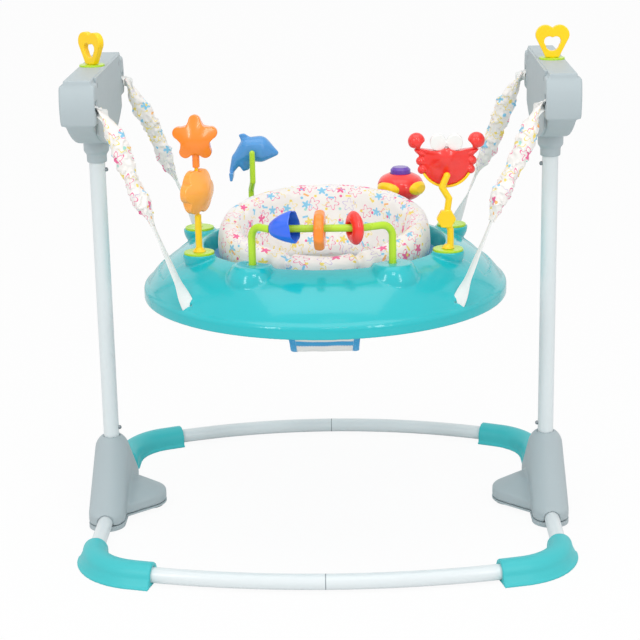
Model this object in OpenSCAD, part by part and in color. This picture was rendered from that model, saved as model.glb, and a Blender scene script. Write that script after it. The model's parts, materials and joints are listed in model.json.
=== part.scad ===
// Baby jumper: a two-post floor frame that carries a sprung play tray with a turning seat.
// The front faces -Y, +Z is up, and the origin lies on the floor in the middle of the base ring.

/* [Base ring] */
// Outer diameter of the base ring tube
base_tube_d = 25.4; // [22:0.1:28]
// Wall of every steel tube
tube_wall = 1.5; // [1.2:0.1:2]
// Distance from the middle plane to a post's axis
post_x = 381; // [370:1:395]
// Distance from the middle to the axis of the front tube at its crown
front_y = 376; // [368:1:390]
// Distance from the middle to the axis of the back tube at its crown
back_y = 369; // [358:1:380]
// Radius of the outward bow of the front tube
front_bow_r = 1200; // [1100:1:1300]
// Radius of the outward bow of the back tube
back_bow_r = 780; // [740:1:860]
// Radius of the corner bends
bend_r = 95; // [88:1:105]
// Sole under the base tube
sole_t = 3; // [2:0.1:4]
// Half length of the plug that joins the two halves of the ring
ring_plug_l = 45; // [30:1:60]

/* [Boots] */
// Wall of a boot above the tube
boot_wall = 8; // [5:0.5:10]
// How far the outer skirt stands out from the tube's axis
boot_skirt = 27; // [24:1:32]
// Width of the rim along the bottom edge
boot_rim_w = 3; // [2:0.5:5]
// Height of that rim
boot_rim_h = 4; // [2:0.5:6]
// How far a boot runs past the bend along the front or back tube
boot_end_l = 37; // [20:1:45]
// How far a front boot runs past the bend along the side tube
boot_front_side_l = 6; // [4:1:20]
// How far a back boot runs past the bend along the side tube
boot_back_side_l = 37; // [20:1:45]
// Angle on the arch where the skirt leaves it
boot_shoulder_a = 50; // [40:1:60]

/* [Hubs] */
// Height of the hub's crown
hub_top_z = 136; // [128:1:142]
// Half length of the hub along the side tube
hub_half_l = 132; // [120:1:140]
// Radius of the hub's rounded ends
hub_end_r = 31; // [28:1:36]
// Height of the straight wall at those ends
hub_end_h = 18; // [12:1:26]
// Radius of the crown
hub_crown_r = 30; // [27:1:32]
// Radius of the foot's rounded nose
lobe_r = 44; // [38:1:48]
// Half width of the foot where it meets the hub
lobe_half_l = 88; // [76:1:96]
// Height of the foot's dome
lobe_h = 50; // [44:1:56]
// Height of the foot's wall at its nose
lobe_edge_h = 28; // [22:1:34]
// How far the centre of the foot's nose lies inside the post's axis
lobe_in = 48; // [42:1:52]
// Height of the joint between the hub and its bottom plate
hub_plate_z = 9; // [8:0.5:12]
// Gap between the bottom plate and the floor
hub_plate_lift = 1.2; // [1:0.1:2]
// Height of the rubber pad under the foot
pad_h = 6; // [4:0.5:7]
// Radius of that pad
pad_r = 24; // [18:1:28]

/* [Posts] */
// Outer diameter of a post
post_d = 27; // [25:0.1:30]
// Height of the splice between the stub and the upper post
post_seam_z = 166; // [158:1:180]
// Half length of a splice spigot
splice_l = 48; // [40:1:60]
// Diameter of a snap button
button_d = 7; // [5:0.1:8]
// How far a snap button stands out of its post
button_out = 4.5; // [3:0.1:5]
// Height of the lower snap button above the hub
low_button_up = 9; // [7:0.5:14]
// Depth of the upper snap button below the head
high_button_down = 13; // [9:0.5:18]

/* [Heads] */
// Height of a head's flat top
head_top_z = 780; // [768:1:792]
// Half length of a head, front to back
head_half_l = 185; // [175:1:195]
// Distance from a post's axis to the inner face of the arm
head_in = 27; // [26:0.5:29]
// Distance from a post's axis to the outer face of the arm
head_out = 21; // [19:0.5:26]
// Width of the rounded noses
nose_w = 57; // [55:0.5:62]
// Length of a nose
nose_l = 39; // [34:1:44]
// Drop from a head's top to the top edge of a nose
nose_top_drop = 8; // [5:0.5:14]
// Drop from a head's top to the bottom edge of a nose
nose_bottom_drop = 72; // [66:1:80]
// Bulge of a nose's end face
nose_bulge = 7; // [4:0.5:10]
// Drop from a head's top to the arm's lowest line
head_under_drop = 125; // [118:1:132]
// Thickness of the inner cover
cover_t = 4; // [3:0.5:6]
// Diameter of the collar under the arm
collar_d = 43; // [41:0.5:46]
// Drop from a head's top to the collar's lower edge
collar_drop = 147; // [141:1:152]
// Diameter of the ferrule round the post
ferrule_d = 34; // [32:0.5:38]
// Drop from a head's top to the ferrule's lower edge
ferrule_drop = 162; // [156:1:168]

/* [Hearts] */
// Width of a heart loop
heart_w = 55.5; // [48:0.5:60]
// Thickness of a heart loop
heart_t = 11; // [8:0.5:14]
// Width of the loop's band
heart_band = 14.5; // [12:0.5:16]
// Diameter of the round plate under a heart
heart_plate_d = 42; // [36:1:48]
// How far that plate stands out of the head
heart_plate_up = 2.5; // [1.5:0.1:4]
// Turn of the left heart
left_heart_turn = 43; // [0:1:90]

/* [Straps] */
// Distance from the middle of a head to its strap
anchor_y = 166; // [160:1:170]
// Drop from a head's top to where a strap leaves it
anchor_drop = 41; // [36:1:48]
// Width of the webbing
strap_w = 22; // [18:0.5:24]
// Thickness of the webbing
strap_t = 1.8; // [1.2:0.1:2.5]
// Turn of the webbing between the spring and the tray
strap_twist = 68; // [0:1:80]
// Outer diameter of a coil spring
spring_d = 16; // [13:0.5:18]
// Diameter of the spring wire
spring_wire = 2.2; // [1.6:0.1:2.6]
// Turns in a coil spring
spring_turns = 8; // [5:1:10]
// Working length of a coil spring
spring_l = 122; // [110:1:126]
// Half width of a sleeve at its fullest
sleeve_half_w = 19; // [16:0.5:22]
// Depth of a sleeve's puckers
sleeve_pucker = 2.2; // [1:0.1:3]

/* [Tray] */
// Radius of the tray's rim
rim_r = 309; // [300:1:316]
// Height of the rim's lower edge
rim_bottom_z = 390; // [384:1:396]
// Height of the rim band
rim_h = 24; // [20:1:28]
// Rounding of the rim band
rim_round = 8; // [6:0.5:10]
// Radius of the opening's edge
opening_r = 206; // [202:1:212]
// Height of the opening's edge
opening_z = 478; // [472:1:484]
// Crown of the deck between opening and rim
deck_crown = 12; // [8:0.5:16]
// Wall of the tray
tray_t = 4; // [3.5:0.1:4.5]
// Depth of the two side recesses
recess_depth = 2.2; // [0.8:0.1:2.4]
// How far the well's foot lies inside the opening's edge
well_in = 9; // [7:0.5:11]
// Height of the ledge that carries the seat
ledge_z = 448; // [444:0.5:452]
// Width of the ledge
ledge_w = 18; // [16:0.5:20]
// Distance of a strap slot from the rim
slot_in = 12; // [10:1:17]
// Angle of a strap slot from the side
slot_a = 43; // [38:1:48]
// Diameter of a socket cap
cap_d = 50; // [44:1:54]
// Thickness of a socket cap
cap_t = 5; // [4:0.5:7]
// Diameter of the toy pegs in their sockets
peg_d = 10; // [8:0.5:12]

/* [Seat] */
// How far the seat ring reaches inside the ledge
ring_reach = 11; // [9:0.5:14]
// Thickness of the seat ring's flange
ring_t = 5; // [4:0.5:7]
// How far the pad's middle line lies inside the seat ring
seat_pad_in = 8; // [6:0.5:11]
// Half thickness of the pad
seat_pad_half = 24; // [20:0.5:26]
// Height of the pad at the back
pad_back_h = 92; // [80:1:100]
// Height of the pad at the front
pad_front_h = 40; // [34:1:48]
// Depth of the two front creases
pad_crease = 0.22; // [0.1:0.01:0.3]
// Height of the sling's lowest line
sling_bottom_z = 302; // [285:1:315]
// Width of the sling between the legs
sling_w = 112; // [90:1:130]
// Thickness of the sling
sling_t = 3; // [2:0.1:4]

/* [Toys] */
// Diameter of the bead bar
bar_d = 12; // [10:0.5:13]
// Height of the bar's top run
bar_z = 548; // [540:1:556]
// Half distance between the bar's legs
bar_half_w = 112; // [106:1:118]
// How far the bar's middle run stands in front of the legs
bar_jog = 26; // [22:1:30]
// Diameter of the orange ring bead
orange_d = 66; // [58:1:68]
// Diameter of the red ring bead
red_d = 57; // [50:1:60]
// Diameter of the hole in a bead
bead_hole_d = 20; // [18:0.5:24]
// Width of the star
star_w = 76; // [64:1:82]
// Width of the flower
flower_w = 78; // [66:1:82]
// Thickness of the star and the flower
star_t = 22; // [18:1:26]
// Turn of the flower on its stalk
flower_turn = 58; // [0:1:90]
// Height of the middle of the crab's round lower half
crab_z = 627; // [618:1:636]
// Radius of the crab's shell
crab_r = 42; // [38:1:46]
// Height of the pin on which the dolphin rocks
dolphin_z = 592; // [584:1:600]
// Radius of the fish's round sides
fish_side_r = 25; // [22:0.5:27]
// Travel of the fish's push button
fish_press = 5; // [3:0.5:6]

/* [Hidden] */

$fn = 64;
LEFT = 1;
RIGHT = 0;
FRONT = 0;
BACK = 1;
// Overrun of every cut
cut = 1;
// Clearance between pieces that slide or plug together
gap = 0.3;
// Bends stand out by this much, and straight ends run into them by the lap
swage = 0.1;
lap = 2;

// Base ring, worked out for the right front quarter
base_r = base_tube_d / 2;
base_z = sole_t + base_r;
base_ys = [front_y, back_y];
bow_rs = [front_bow_r, back_bow_r];
bow_as = [for (e = [FRONT, BACK]) asin((post_x - bend_r) / (bow_rs[e] - bend_r))];
side_ys = [for (e = [FRONT, BACK]) base_ys[e] - bow_rs[e] * (1 - cos(bow_as[e])) - bend_r * cos(bow_as[e])];
boot_side_ls = [boot_front_side_l, boot_back_side_l];
boot_arch_r = base_r + boot_wall;

// Posts
post_r = post_d / 2;
spigot_r = post_r - tube_wall - gap;
spigot_in_r = spigot_r - tube_wall;
stub_z = base_z + base_r + sole_t;
low_button_z = hub_top_z + low_button_up;
ferrule_bottom_z = head_top_z - ferrule_drop;
high_button_z = ferrule_bottom_z - high_button_down;
button_flange_share = 1.36;
button_flange_d = button_d * button_flange_share;
button_flange_t = tube_wall;
button_seat = sqrt(spigot_in_r * spigot_in_r - button_flange_d * button_flange_d / 4) - gap;
leaf_t = 0.8;
leaf_w = button_d;
leaf_l = 34;

// Hubs and screws
screw_r = 2;
screw_head_r = 4;
screw_head_h = 2.5;
screw_l = 16;
hub_screw_y = hub_half_l - hub_end_r;
hub_screw_share = 0.72;
hub_screw_in = hub_end_r * hub_screw_share;
pad_in = lobe_r - pad_r - pad_h;

// Heads
arm_half_l = head_half_l - nose_bulge;
nose_top_z = head_top_z - nose_top_drop;
nose_bottom_z = head_top_z - nose_bottom_drop;
head_under_z = head_top_z - head_under_drop;
collar_bottom_z = head_top_z - collar_drop;
anchor_z = head_top_z - anchor_drop;
head_under_rise = nose_bottom_z - head_under_z;
head_under_r = (arm_half_l * arm_half_l + head_under_rise * head_under_rise) / (2 * head_under_rise);
nose_half_h = (nose_top_z - nose_bottom_z) / 2;
nose_mid_z = nose_bottom_z + nose_half_h;
nose_r = (nose_half_h * nose_half_h + nose_bulge * nose_bulge) / (2 * nose_bulge);
nose_in_y = head_half_l - nose_l;
post_top_z = head_under_z + tube_wall;
spigot_top_drop = 50;
spigot_top_z = head_top_z - spigot_top_drop;
spigot_bottom_z = ferrule_bottom_z - splice_l;
pin_r = 3;
collar_chamfer = 4;
pin_inset = 11;
pin_in = nose_w / 2 - pin_inset;
slot_room = 1.2;
head_slot_w = strap_w + 2 * slot_room;
head_slot_h = 13;
head_slot_share = 0.62;
head_slot_d = nose_w * head_slot_share;
pin_over = 4;
pin_l = head_slot_w + 2 * pin_over;
cover_screw_inset = 14;
cover_screw_y = nose_in_y - cover_screw_inset;
cover_screw_z = head_top_z - cover_screw_inset;
heart_pin_r = 5;
heart_pin_l = 14;
heart_seat = 2;
heart_lobe_share = 0.29;
heart_lobe_at_shares = [0.21, 0.66];
heart_side_shares = [[0, 0], [0.2, 0], [0.4594, 0.52], [0.21, 0.66], [0, 0.78]];
heart_hole_up_share = 0.4;
heart_hole_lobe_share = 0.3;
heart_hole_lobe_at_shares = [0.22, 0.15];
heart_hole_foot_share = 0.42;
heart_hole_drop_share = 0.03;

// Strap line, from the tray slot up to the head, for the right front corner
rim_lap = 2;
rim_dip = 1;
chord_r = rim_r - rim_round + rim_lap;
chord_z = rim_bottom_z + rim_h - rim_dip;
chord_l = norm([chord_r - opening_r, opening_z - chord_z]);
deck_arc_r = (chord_l * chord_l / 4 + deck_crown * deck_crown) / (2 * deck_crown);
deck_n = [(opening_z - chord_z) / chord_l, (chord_r - opening_r) / chord_l];
deck_mid = [(opening_r + chord_r) / 2, (opening_z + chord_z) / 2];
deck_c = deck_mid - (deck_arc_r - deck_crown) * deck_n;
function deck_z(r) = deck_c[1] + sqrt(deck_arc_r * deck_arc_r - (r - deck_c[0]) * (r - deck_c[0]));
slot_r = rim_r - slot_in;
strap_low = [slot_r * cos(slot_a), -slot_r * sin(slot_a), deck_z(slot_r)];
tab_out = 6;
strap_high = [post_x - nose_w / 2 - tab_out, -anchor_y, anchor_z];
strap_v = strap_high - strap_low;
strap_l = norm(strap_v);
strap_tilt = acos(strap_v[2] / strap_l);
strap_heading = atan2(strap_v[1], strap_v[0]);
spring_r = spring_d / 2;
spring_inset = 46;
sleeve_over = 38;
spring_top = strap_l - spring_inset;
spring_bottom = spring_top - spring_l;
spring_pitch = spring_l / spring_turns;
plug_flange_h = 3;
plug_core_l = 10;
coil_rings = 8;
plug_core_r = (spring_r - spring_wire) * cos(180 / coil_rings) - gap;
sleeve_start = 8;
sleeve_top = strap_l - sleeve_start;
sleeve_bottom = spring_bottom - sleeve_over;
sleeve_t = 0.9;
sleeve_end_room = 3;
sleeve_end_half_w = strap_w / 2 + sleeve_end_room;
sleeve_end_half_t = 3.4;
sleeve_room = 5;
sleeve_mid_half_t = spring_r + sleeve_room;
sleeve_end_share = 0.06;
sleeve_full_share = 0.45;
sleeve_fade_share = 0.4;
strap_twist_share = 0.66;
sleeve_rings = 15;
sleeve_sides = 10;
keeper_drop = 16;
keeper_r = 3.5;
keeper_over = 5;
keeper_l = strap_w + 2 * keeper_over;

// Tray stations: radius, angle from the side and height of each pod
front_pod_share = 0.2136;
front_pod_a = -26;
front_pod_z = 482;
rear_pod_share = 0.3495;
rear_pod_a = 24;
rear_pod_z = 479;
back_pod_share = 0.3398;
back_pod_a = 56;
back_pod_z = 479;
bar_leg_share = 0.158;
bar_pod_r = 44;
bar_pod_flat_r = 30;
bar_pod_z = 485;
pod_wall = 3;
pod_flare = 1.5;
pod_h = 46;
pod_top_t = 8;
pod_setback = 0.5;
cap_sunk = 2;
boss_wall = 4;
boss_l = 22;
ledge_t = 3.5;
well_t = 3;
recess_half_a = 20;
recess_in_r = 226;
recess_out_r = 284;
function deck_r(share) = opening_r + share * (rim_r - opening_r);
function station(share, a, z) = [deck_r(share) * cos(a), deck_r(share) * sin(a), z];
front_at = station(front_pod_share, front_pod_a, front_pod_z);
rear_at = station(rear_pod_share, rear_pod_a, rear_pod_z);
back_at = station(back_pod_share, back_pod_a, back_pod_z);
bar_leg_y = sqrt(deck_r(bar_leg_share) * deck_r(bar_leg_share) - bar_half_w * bar_half_w);

// Seat
well_r = opening_r - well_in;
ledge_in_r = well_r - ledge_w;
ring_in_r = ledge_in_r - ring_reach;
seat_pad_r = ring_in_r - seat_pad_in;
ring_room = 4;
ring_skirt_room = 1;
ring_out_r = well_r - ring_room;
ring_skirt_r = ledge_in_r - ring_skirt_room;
ring_top_z = ledge_z + gap + ring_t;
retainer_over = 9;
retainer_out_r = ledge_in_r + retainer_over;
retainer_t = 4;
retainer_z = ledge_z - ledge_t - gap;
clip_count = 12;
clip_w = 10;
seat_pad_z = ring_top_z + gap;
seat_pad_steps = 60;
seat_pad_sides = 14;
pad_square_share = 0.72;
crease_a = 20.5;
crease_spread = 5;
sling_rings = 22;
sling_cols = 8;
sling_top_drop = 1;
sling_top_z = ring_top_z - sling_top_drop;
sling_r = ring_in_r - gap;
sling_front_w = 210;
sling_back_w = 250;
sling_floor_front = 98;
sling_floor_back = 60;
sling_turn_power = 3;
sling_spread_power = 4;
sling_drop_power = 0.5;
sling_in_power = 1.5;
sling_flat_power = 6;
pad_rise_power = 0.8;

// Toys
stalk_d = 11;
spindle_r = 3;
flower_up = 104;
star_up = 88;
flower_z = front_at[2] + flower_up;
star_z = flower_z + star_up;
star_neck_r = 6;
star_tip_share = 0.13;
star_valley_share = 0.64;
star_root_share = 0.4;
star_root_w_share = 1.9;
petal_share = 0.2;
puff_w_share = 1.25;
star_puff_share = 1.2;
flower_puff_share = 1.3;
stalk_foot_share = 0.6;
stalk_foot_z = front_at[2] + cap_t - cap_sunk + gap;
stalk_z = stalk_foot_z + stalk_d * stalk_foot_share / 2;
bar_bend_r = 20;
bar_lap = 1;
bar_run_y = bar_leg_y + bar_jog;
bar_left_in = 28;
bar_right_in = 48;
bar_run_left = bar_left_in - bar_half_w;
bar_run_right = bar_half_w - bar_right_in;
bead_fish_x = -60;
bead_fish_half_l = 23;
bead_fish_r = 26.5;
bead_fish_end_r = 13.5;
bead_fish_rim_share = 0.3;
bead_fish_notch_share = 0.16;
orange_x = -3;
orange_t = 18;
red_x = 52;
red_t = 20;
red_rim_share = 0.92;
crab_t = 26;
crab_back = 20;
crab_pin_drop = 21;
crab_pin_r = 2.5;
crab_stalk_across = [4, 4, -3, 1.5, -10, -2];
crab_stalk_up_shares = [0, 0.24, 0.4, 0.68, 0.84, 1];
crab_knot_r = 16;
crab_knot_t = 13;
crab_brow_share = 0.52;
crab_puff_share = 1.08;
crab_elbow_shares = [0.7, 0.4];
crab_claw_shares = [0.78, 1.02];
crab_leg_as = [70, 90, 110];
crab_leg_share = 0.55;
eye_sunk = 4;
crab_rim_a = 62;
crab_rim_w = 4;
crab_rim_t = 12;
claw_r = 14;
eye_r = 13;
eye_t = 20;
dolphin_gap = 2;
dolphin_half_t = 20;
dolphin_pin_r = 2.5;
dolphin_pin_share = 1.6;
// Round stations of the body from the tail to the nose: [along, up, radius]
dolphin_shares = [[-1.95, -1.6, 0.22], [-1.4, -0.45, 0.55], [-0.4, 0.2, 0.9], [0.65, 0.2, 1], [2.05, 0.02, 0.26]];
dolphin_fin_share = 0.4;
dolphin_fin_shares = [[-0.9, 0.5], [-1.25, 1.5], [-0.7, 1.42], [0.1, 0.9]];
dolphin_fluke_share = 2.2;
dolphin_fluke_shares = [[-0.2, 0], [-0.12, -0.75], [0.12, -0.75], [0.2, 0]];
fish_core_r = 12;
fish_z = 529;
fish_button_r = 18;
fish_spring_r = 7;
fish_spring_wire = 1.6;
fish_spring_turns = 4;
fish_spring_h = 13;
fin_r = 10;
fin_t = 9;
fin_a = 62;
fin_sunk_share = 0.45;
fin_tip_share = 0.6;
fish_button_tip_share = 0.75;

// Colours
steel = "#E3EAEC";
grey = "#B9C3C7";
teal = "#3FD3D6";
boot_teal = "#45C3C6";
dark = "#3A3D40";
metal = "#9AA0A4";
yellow = "#FFD400";
lime = "#BFE62E";
orange = "#FF8A2B";
amber = "#FFB04D";
sea_blue = "#5AA0DA";
bead_blue = "#2F63E0";
ring_blue = "#3F9BD8";
red = "#E8332B";
purple = "#6A3FB0";
fin_yellow = "#E6BE12";
print = "#F4F1EC";
webbing = "#FAFAFA";

// Draws its children, which are made for the right front corner, on the asked side and end
module on_side(side, end = FRONT) {
    mirror([side, 0, 0]) mirror([0, end, 0]) children();
}

module both_sides() {
    for (side = [LEFT, RIGHT]) on_side(side) children();
}

module four_corners() {
    for (side = [LEFT, RIGHT], end = [FRONT, BACK]) on_side(side, end) children();
}

// A straight round rod between two points
module rod(p, q, r) {
    v = q - p;
    translate(p) rotate([0, acos(v[2] / norm(v)), atan2(v[1], v[0])]) cylinder(r = r, h = norm(v));
}

module tube(r, h) {
    difference() {
        cylinder(r = r, h = h);
        translate([0, 0, -cut]) cylinder(r = r - tube_wall, h = h + 2 * cut);
    }
}

module tube_section(r, grow = 0) {
    difference() {
        circle(r + grow);
        circle(r - tube_wall - grow);
    }
}

// A closed skin through rings of points; each ring turns left as seen against the way of travel.
// A slab's two faces, the two halves of its rings, are split along the same diagonals, so that they stay apart
module loft(rings, closed = false, slab = false) {
    n = len(rings[0]);
    m = len(rings);
    last = closed ? m - 1 : m - 2;
    sides = [for (i = [0 : last], j = [0 : n - 1], k = [0, 1])
        let (a = i * n + j, b = i * n + (j + 1) % n, c = ((i + 1) % m) * n + j, d = ((i + 1) % m) * n + (j + 1) % n)
        slab && 2 * j >= n ? (k == 0 ? [a, c, b] : [c, d, b]) : (k == 0 ? [a, d, b] : [a, c, d])];
    fan = slab ? [for (j = [0 : n / 2 - 2], k = [0, 1]) k == 0 ? [j, j + 1, n - 1 - j] : [j + 1, n - 2 - j, n - 1 - j]]
        : [for (j = [1 : n - 2]) [0, j, j + 1]];
    caps = closed ? [] : concat(fan, [for (f = fan) [for (k = [2, 1, 0]) (m - 1) * n + f[k]]]);
    polyhedron(points = [for (ring = rings, p = ring) p], faces = concat(sides, caps));
}

// Base ring
function bow_angle(end, l) = l / bow_rs[end] * 180 / PI;

module bow(end, from_a, sweep_a) {
    translate([0, bow_rs[end] - base_ys[end], base_z]) rotate([0, 0, 270 + from_a])
        rotate_extrude(angle = sweep_a, $fn = 180) translate([bow_rs[end], 0]) children();
}

module base_quarter(end) {
    bow(end, 0, bow_as[end] + bow_angle(end, lap)) tube_section(base_r);
    translate([post_x - bend_r, -side_ys[end], base_z]) rotate([0, 0, 270 + bow_as[end]])
        rotate_extrude(angle = 90 - bow_as[end]) translate([bend_r, 0]) tube_section(base_r, swage);
}

module base_tube() {
    base_quarter(FRONT);
    mirror([0, 1, 0]) base_quarter(BACK);
    translate([post_x, side_ys[BACK] + lap, base_z]) rotate([90, 0, 0]) tube(base_r, side_ys[FRONT] + side_ys[BACK] + 2 * lap);
}

// The plug is fixed in the left tube and slides into the right one
module ring_plug(end) {
    plug_r = base_r - tube_wall - gap;
    plug_a = bow_angle(end, ring_plug_l);
    bow(end, -plug_a, 2 * plug_a) tube_section(plug_r);
    bow(end, -plug_a, plug_a) difference() {
        circle(base_r - tube_wall / 2);
        circle(plug_r - tube_wall);
    }
}

module base_tube_left() {
    color(steel) {
        on_side(LEFT) base_tube();
        ring_plug(FRONT);
        mirror([0, 1, 0]) ring_plug(BACK);
    }
}

module base_tube_right() {
    color(steel) base_tube();
}

// Boots: one section swept round the bend and past it on both sides
module boot_section(grow) {
    arch = boot_arch_r + grow;
    skirt = boot_skirt + grow;
    intersection() {
        difference() {
            union() {
                translate([0, base_z]) circle(arch);
                translate([-arch, 0]) square([arch, base_z]);
                polygon([[0, 0], [skirt, 0], [skirt, boot_rim_h],
                    [arch * cos(boot_shoulder_a), base_z + arch * sin(boot_shoulder_a)], [0, base_z]]);
                translate([-arch - boot_rim_w, 0]) square([arch + skirt + 2 * boot_rim_w, boot_rim_h + grow]);
            }
            translate([0, base_z]) circle(base_r + gap + grow);
        }
        translate([-2 * skirt, 0]) square(4 * skirt);
    }
}

module boot(side, end) {
    bend_a = bow_as[end];
    end_a = bow_angle(end, boot_end_l);
    side_l = boot_side_ls[end];
    color(boot_teal) on_side(side, end) {
        translate([0, 0, -base_z]) bow(end, bend_a - end_a, end_a + bow_angle(end, lap)) boot_section(0);
        translate([post_x - bend_r, -side_ys[end], 0]) {
            rotate([0, 0, 270 + bend_a]) rotate_extrude(angle = 90 - bend_a) translate([bend_r, 0]) boot_section(swage);
            translate([bend_r, side_l, 0]) rotate([90, 0, 0]) linear_extrude(side_l + lap) boot_section(0);
        }
    }
}

// Hubs
module side_tube_bore() {
    translate([0, hub_half_l + cut, base_z]) rotate([90, 0, 0])
        cylinder(r = base_r + gap, h = 2 * (hub_half_l + cut));
}

module hub_screw_places() {
    for (x = [-hub_screw_in, hub_screw_in], y = [-hub_screw_y, hub_screw_y]) translate([x, y, 0]) children();
}

module hub(side) {
    color(grey) on_side(side) translate([post_x, 0, 0]) difference() {
        union() {
            hull() {
                for (y = [-1, 1]) translate([0, y * (hub_half_l - hub_end_r), hub_plate_z])
                    cylinder(r = hub_end_r, h = hub_end_h, $fn = 40);
                translate([0, 0, hub_top_z - hub_crown_r]) sphere(r = hub_crown_r, $fn = 40);
            }
            hull() {
                translate([-lobe_in, 0, hub_plate_z]) cylinder(r = lobe_r, h = lobe_edge_h - hub_plate_z, $fn = 40);
                translate([-lobe_in + lobe_r / 2, 0, hub_plate_z]) cylinder(r = lobe_r / 2, h = lobe_h - hub_plate_z, $fn = 40);
                translate([-hub_end_r / 2, -lobe_half_l, hub_plate_z]) cube([hub_end_r / 2, 2 * lobe_half_l, lobe_edge_h / 2]);
            }
        }
        side_tube_bore();
        translate([0, 0, stub_z]) cylinder(r = post_r + gap, h = hub_top_z);
        hub_screw_places() translate([0, 0, hub_plate_z - cut]) cylinder(r = screw_r + gap, h = screw_l + cut);
    }
}

module hub_plate(side) {
    color(grey) on_side(side) translate([post_x, 0, 0]) difference() {
        union() {
            translate([0, 0, hub_plate_lift]) linear_extrude(hub_plate_z - hub_plate_lift) {
                translate([-hub_end_r, hub_end_r - hub_half_l]) square(2 * [hub_end_r, hub_half_l - hub_end_r]);
                for (y = [-1, 1]) translate([0, y * (hub_half_l - hub_end_r)]) circle(hub_end_r);
            }
            translate([0, 0, pad_h]) linear_extrude(hub_plate_z - pad_h) hull() {
                translate([-lobe_in, 0]) circle(lobe_r);
                translate([-hub_end_r / 2, -lobe_half_l]) square([hub_end_r / 2, 2 * lobe_half_l]);
            }
        }
        side_tube_bore();
        hub_screw_places() {
            cylinder(r = screw_r + gap, h = 2 * hub_plate_z, center = true);
            cylinder(r = screw_head_r + gap, h = 2 * (hub_plate_lift + screw_head_h));
        }
    }
}

module rubber_pads() {
    color(dark) both_sides() translate([post_x - lobe_in - pad_in, 0, 0]) cylinder(r = pad_r, h = pad_h);
}

module screw() {
    cylinder(r = screw_head_r, h = screw_head_h);
    cylinder(r = screw_r, h = screw_l);
}

module cover_screw_places() {
    for (y = [-cover_screw_y, cover_screw_y]) translate([-head_in, y, cover_screw_z]) rotate([0, 90, 0]) children();
}

module frame_screws() {
    color(metal) both_sides() translate([post_x, 0, 0]) {
        hub_screw_places() translate([0, 0, 2 * hub_plate_lift + screw_head_h]) screw();
        cover_screw_places() screw();
    }
}

// Posts
module button_bore() {
    rotate([0, -90, 0]) cylinder(r = button_d / 2 + gap, h = post_d);
}

module post_stub(side) {
    color(steel) on_side(side) translate([post_x, 0, 0]) difference() {
        translate([0, 0, stub_z]) tube(post_r, post_seam_z - stub_z);
        translate([0, 0, low_button_z]) button_bore();
    }
}

module post(side) {
    color(steel) on_side(side) translate([post_x, 0, 0]) difference() {
        union() {
            translate([0, 0, post_seam_z]) tube(post_r, post_top_z - post_seam_z);
            translate([0, 0, post_seam_z - splice_l]) tube(spigot_r, 2 * splice_l);
            translate([0, 0, post_seam_z]) difference() {
                cylinder(r = post_r - tube_wall / 2, h = splice_l);
                translate([0, 0, -cut]) cylinder(r = spigot_in_r, h = splice_l + 2 * cut);
            }
        }
        translate([0, 0, low_button_z]) button_bore();
        translate([0, 0, high_button_z]) button_bore();
    }
}

module head_spigots() {
    color(metal) both_sides() translate([post_x, 0, 0]) difference() {
        translate([0, 0, spigot_bottom_z]) tube(spigot_r, spigot_top_z - spigot_bottom_z);
        translate([0, 0, high_button_z]) button_bore();
    }
}

// A bent strip that pushes the snap button out
module leaf_spring() {
    back = -sqrt(spigot_in_r * spigot_in_r - leaf_w * leaf_w / 4) + gap;
    front = button_seat - button_flange_t - gap;
    translate([0, leaf_w / 2, 0]) rotate([90, 0, 0]) linear_extrude(leaf_w)
        polygon([[-front, 0], [-back, -leaf_l], [-back, 0], [-back - leaf_t, 0],
            [-back - leaf_t, -leaf_l + 3 * leaf_t], [-front + leaf_t, 0]]);
}

module leaf_springs() {
    color(metal) both_sides() for (z = [low_button_z, high_button_z])
        translate([post_x, 0, z + button_flange_d / 2]) leaf_spring();
}

module snap_button(side, z) {
    color(metal) on_side(side) translate([post_x, 0, z]) rotate([0, -90, 0]) {
        translate([0, 0, button_seat - button_flange_t]) cylinder(d = button_flange_d, h = button_flange_t);
        translate([0, 0, button_seat - button_flange_t])
            cylinder(d = button_d, h = post_r + button_out - button_d / 4 - button_seat + button_flange_t);
        translate([0, 0, post_r + button_out - button_d / 4]) cylinder(d1 = button_d, d2 = button_d / 2, h = button_d / 4);
    }
}

// Heads
module arm_profile() {
    intersection() {
        translate([0, head_under_z + head_under_r]) circle(head_under_r, $fn = 200);
        translate([-arm_half_l, head_under_z]) square([2 * arm_half_l, head_top_z - head_under_z]);
    }
}

module nose_profile() {
    for (m = [0, 1]) mirror([m, 0]) intersection() {
        translate([head_half_l - nose_r, nose_mid_z]) circle(nose_r, $fn = 120);
        translate([nose_in_y, nose_bottom_z]) square([nose_l, 2 * nose_half_h]);
    }
}

// The arm seen from its end: its lower half draws in to the collar
module arm_taper() {
    r = collar_d / 2;
    low = head_under_z - cut;
    polygon([[-head_in, low], [r, low], [r, head_under_z], [head_out + cut, nose_bottom_z],
        [head_out + cut, head_top_z + cut], [-head_in, head_top_z + cut]]);
}

// Extrudes a side profile over a width that starts at x
module across(x, w) {
    translate([x, 0, 0]) rotate([90, 0, 90]) linear_extrude(w) children();
}

module strap_pocket() {
    for (y = [-anchor_y, anchor_y]) {
        translate([-nose_w / 2 - cut, y - head_slot_w / 2, anchor_z - head_slot_h / 2])
            cube([head_slot_d + cut, head_slot_w, head_slot_h]);
        translate([-pin_in, y - pin_l / 2 - gap, anchor_z]) rotate([-90, 0, 0])
            cylinder(r = pin_r + gap, h = pin_l + 2 * gap);
    }
}

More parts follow.
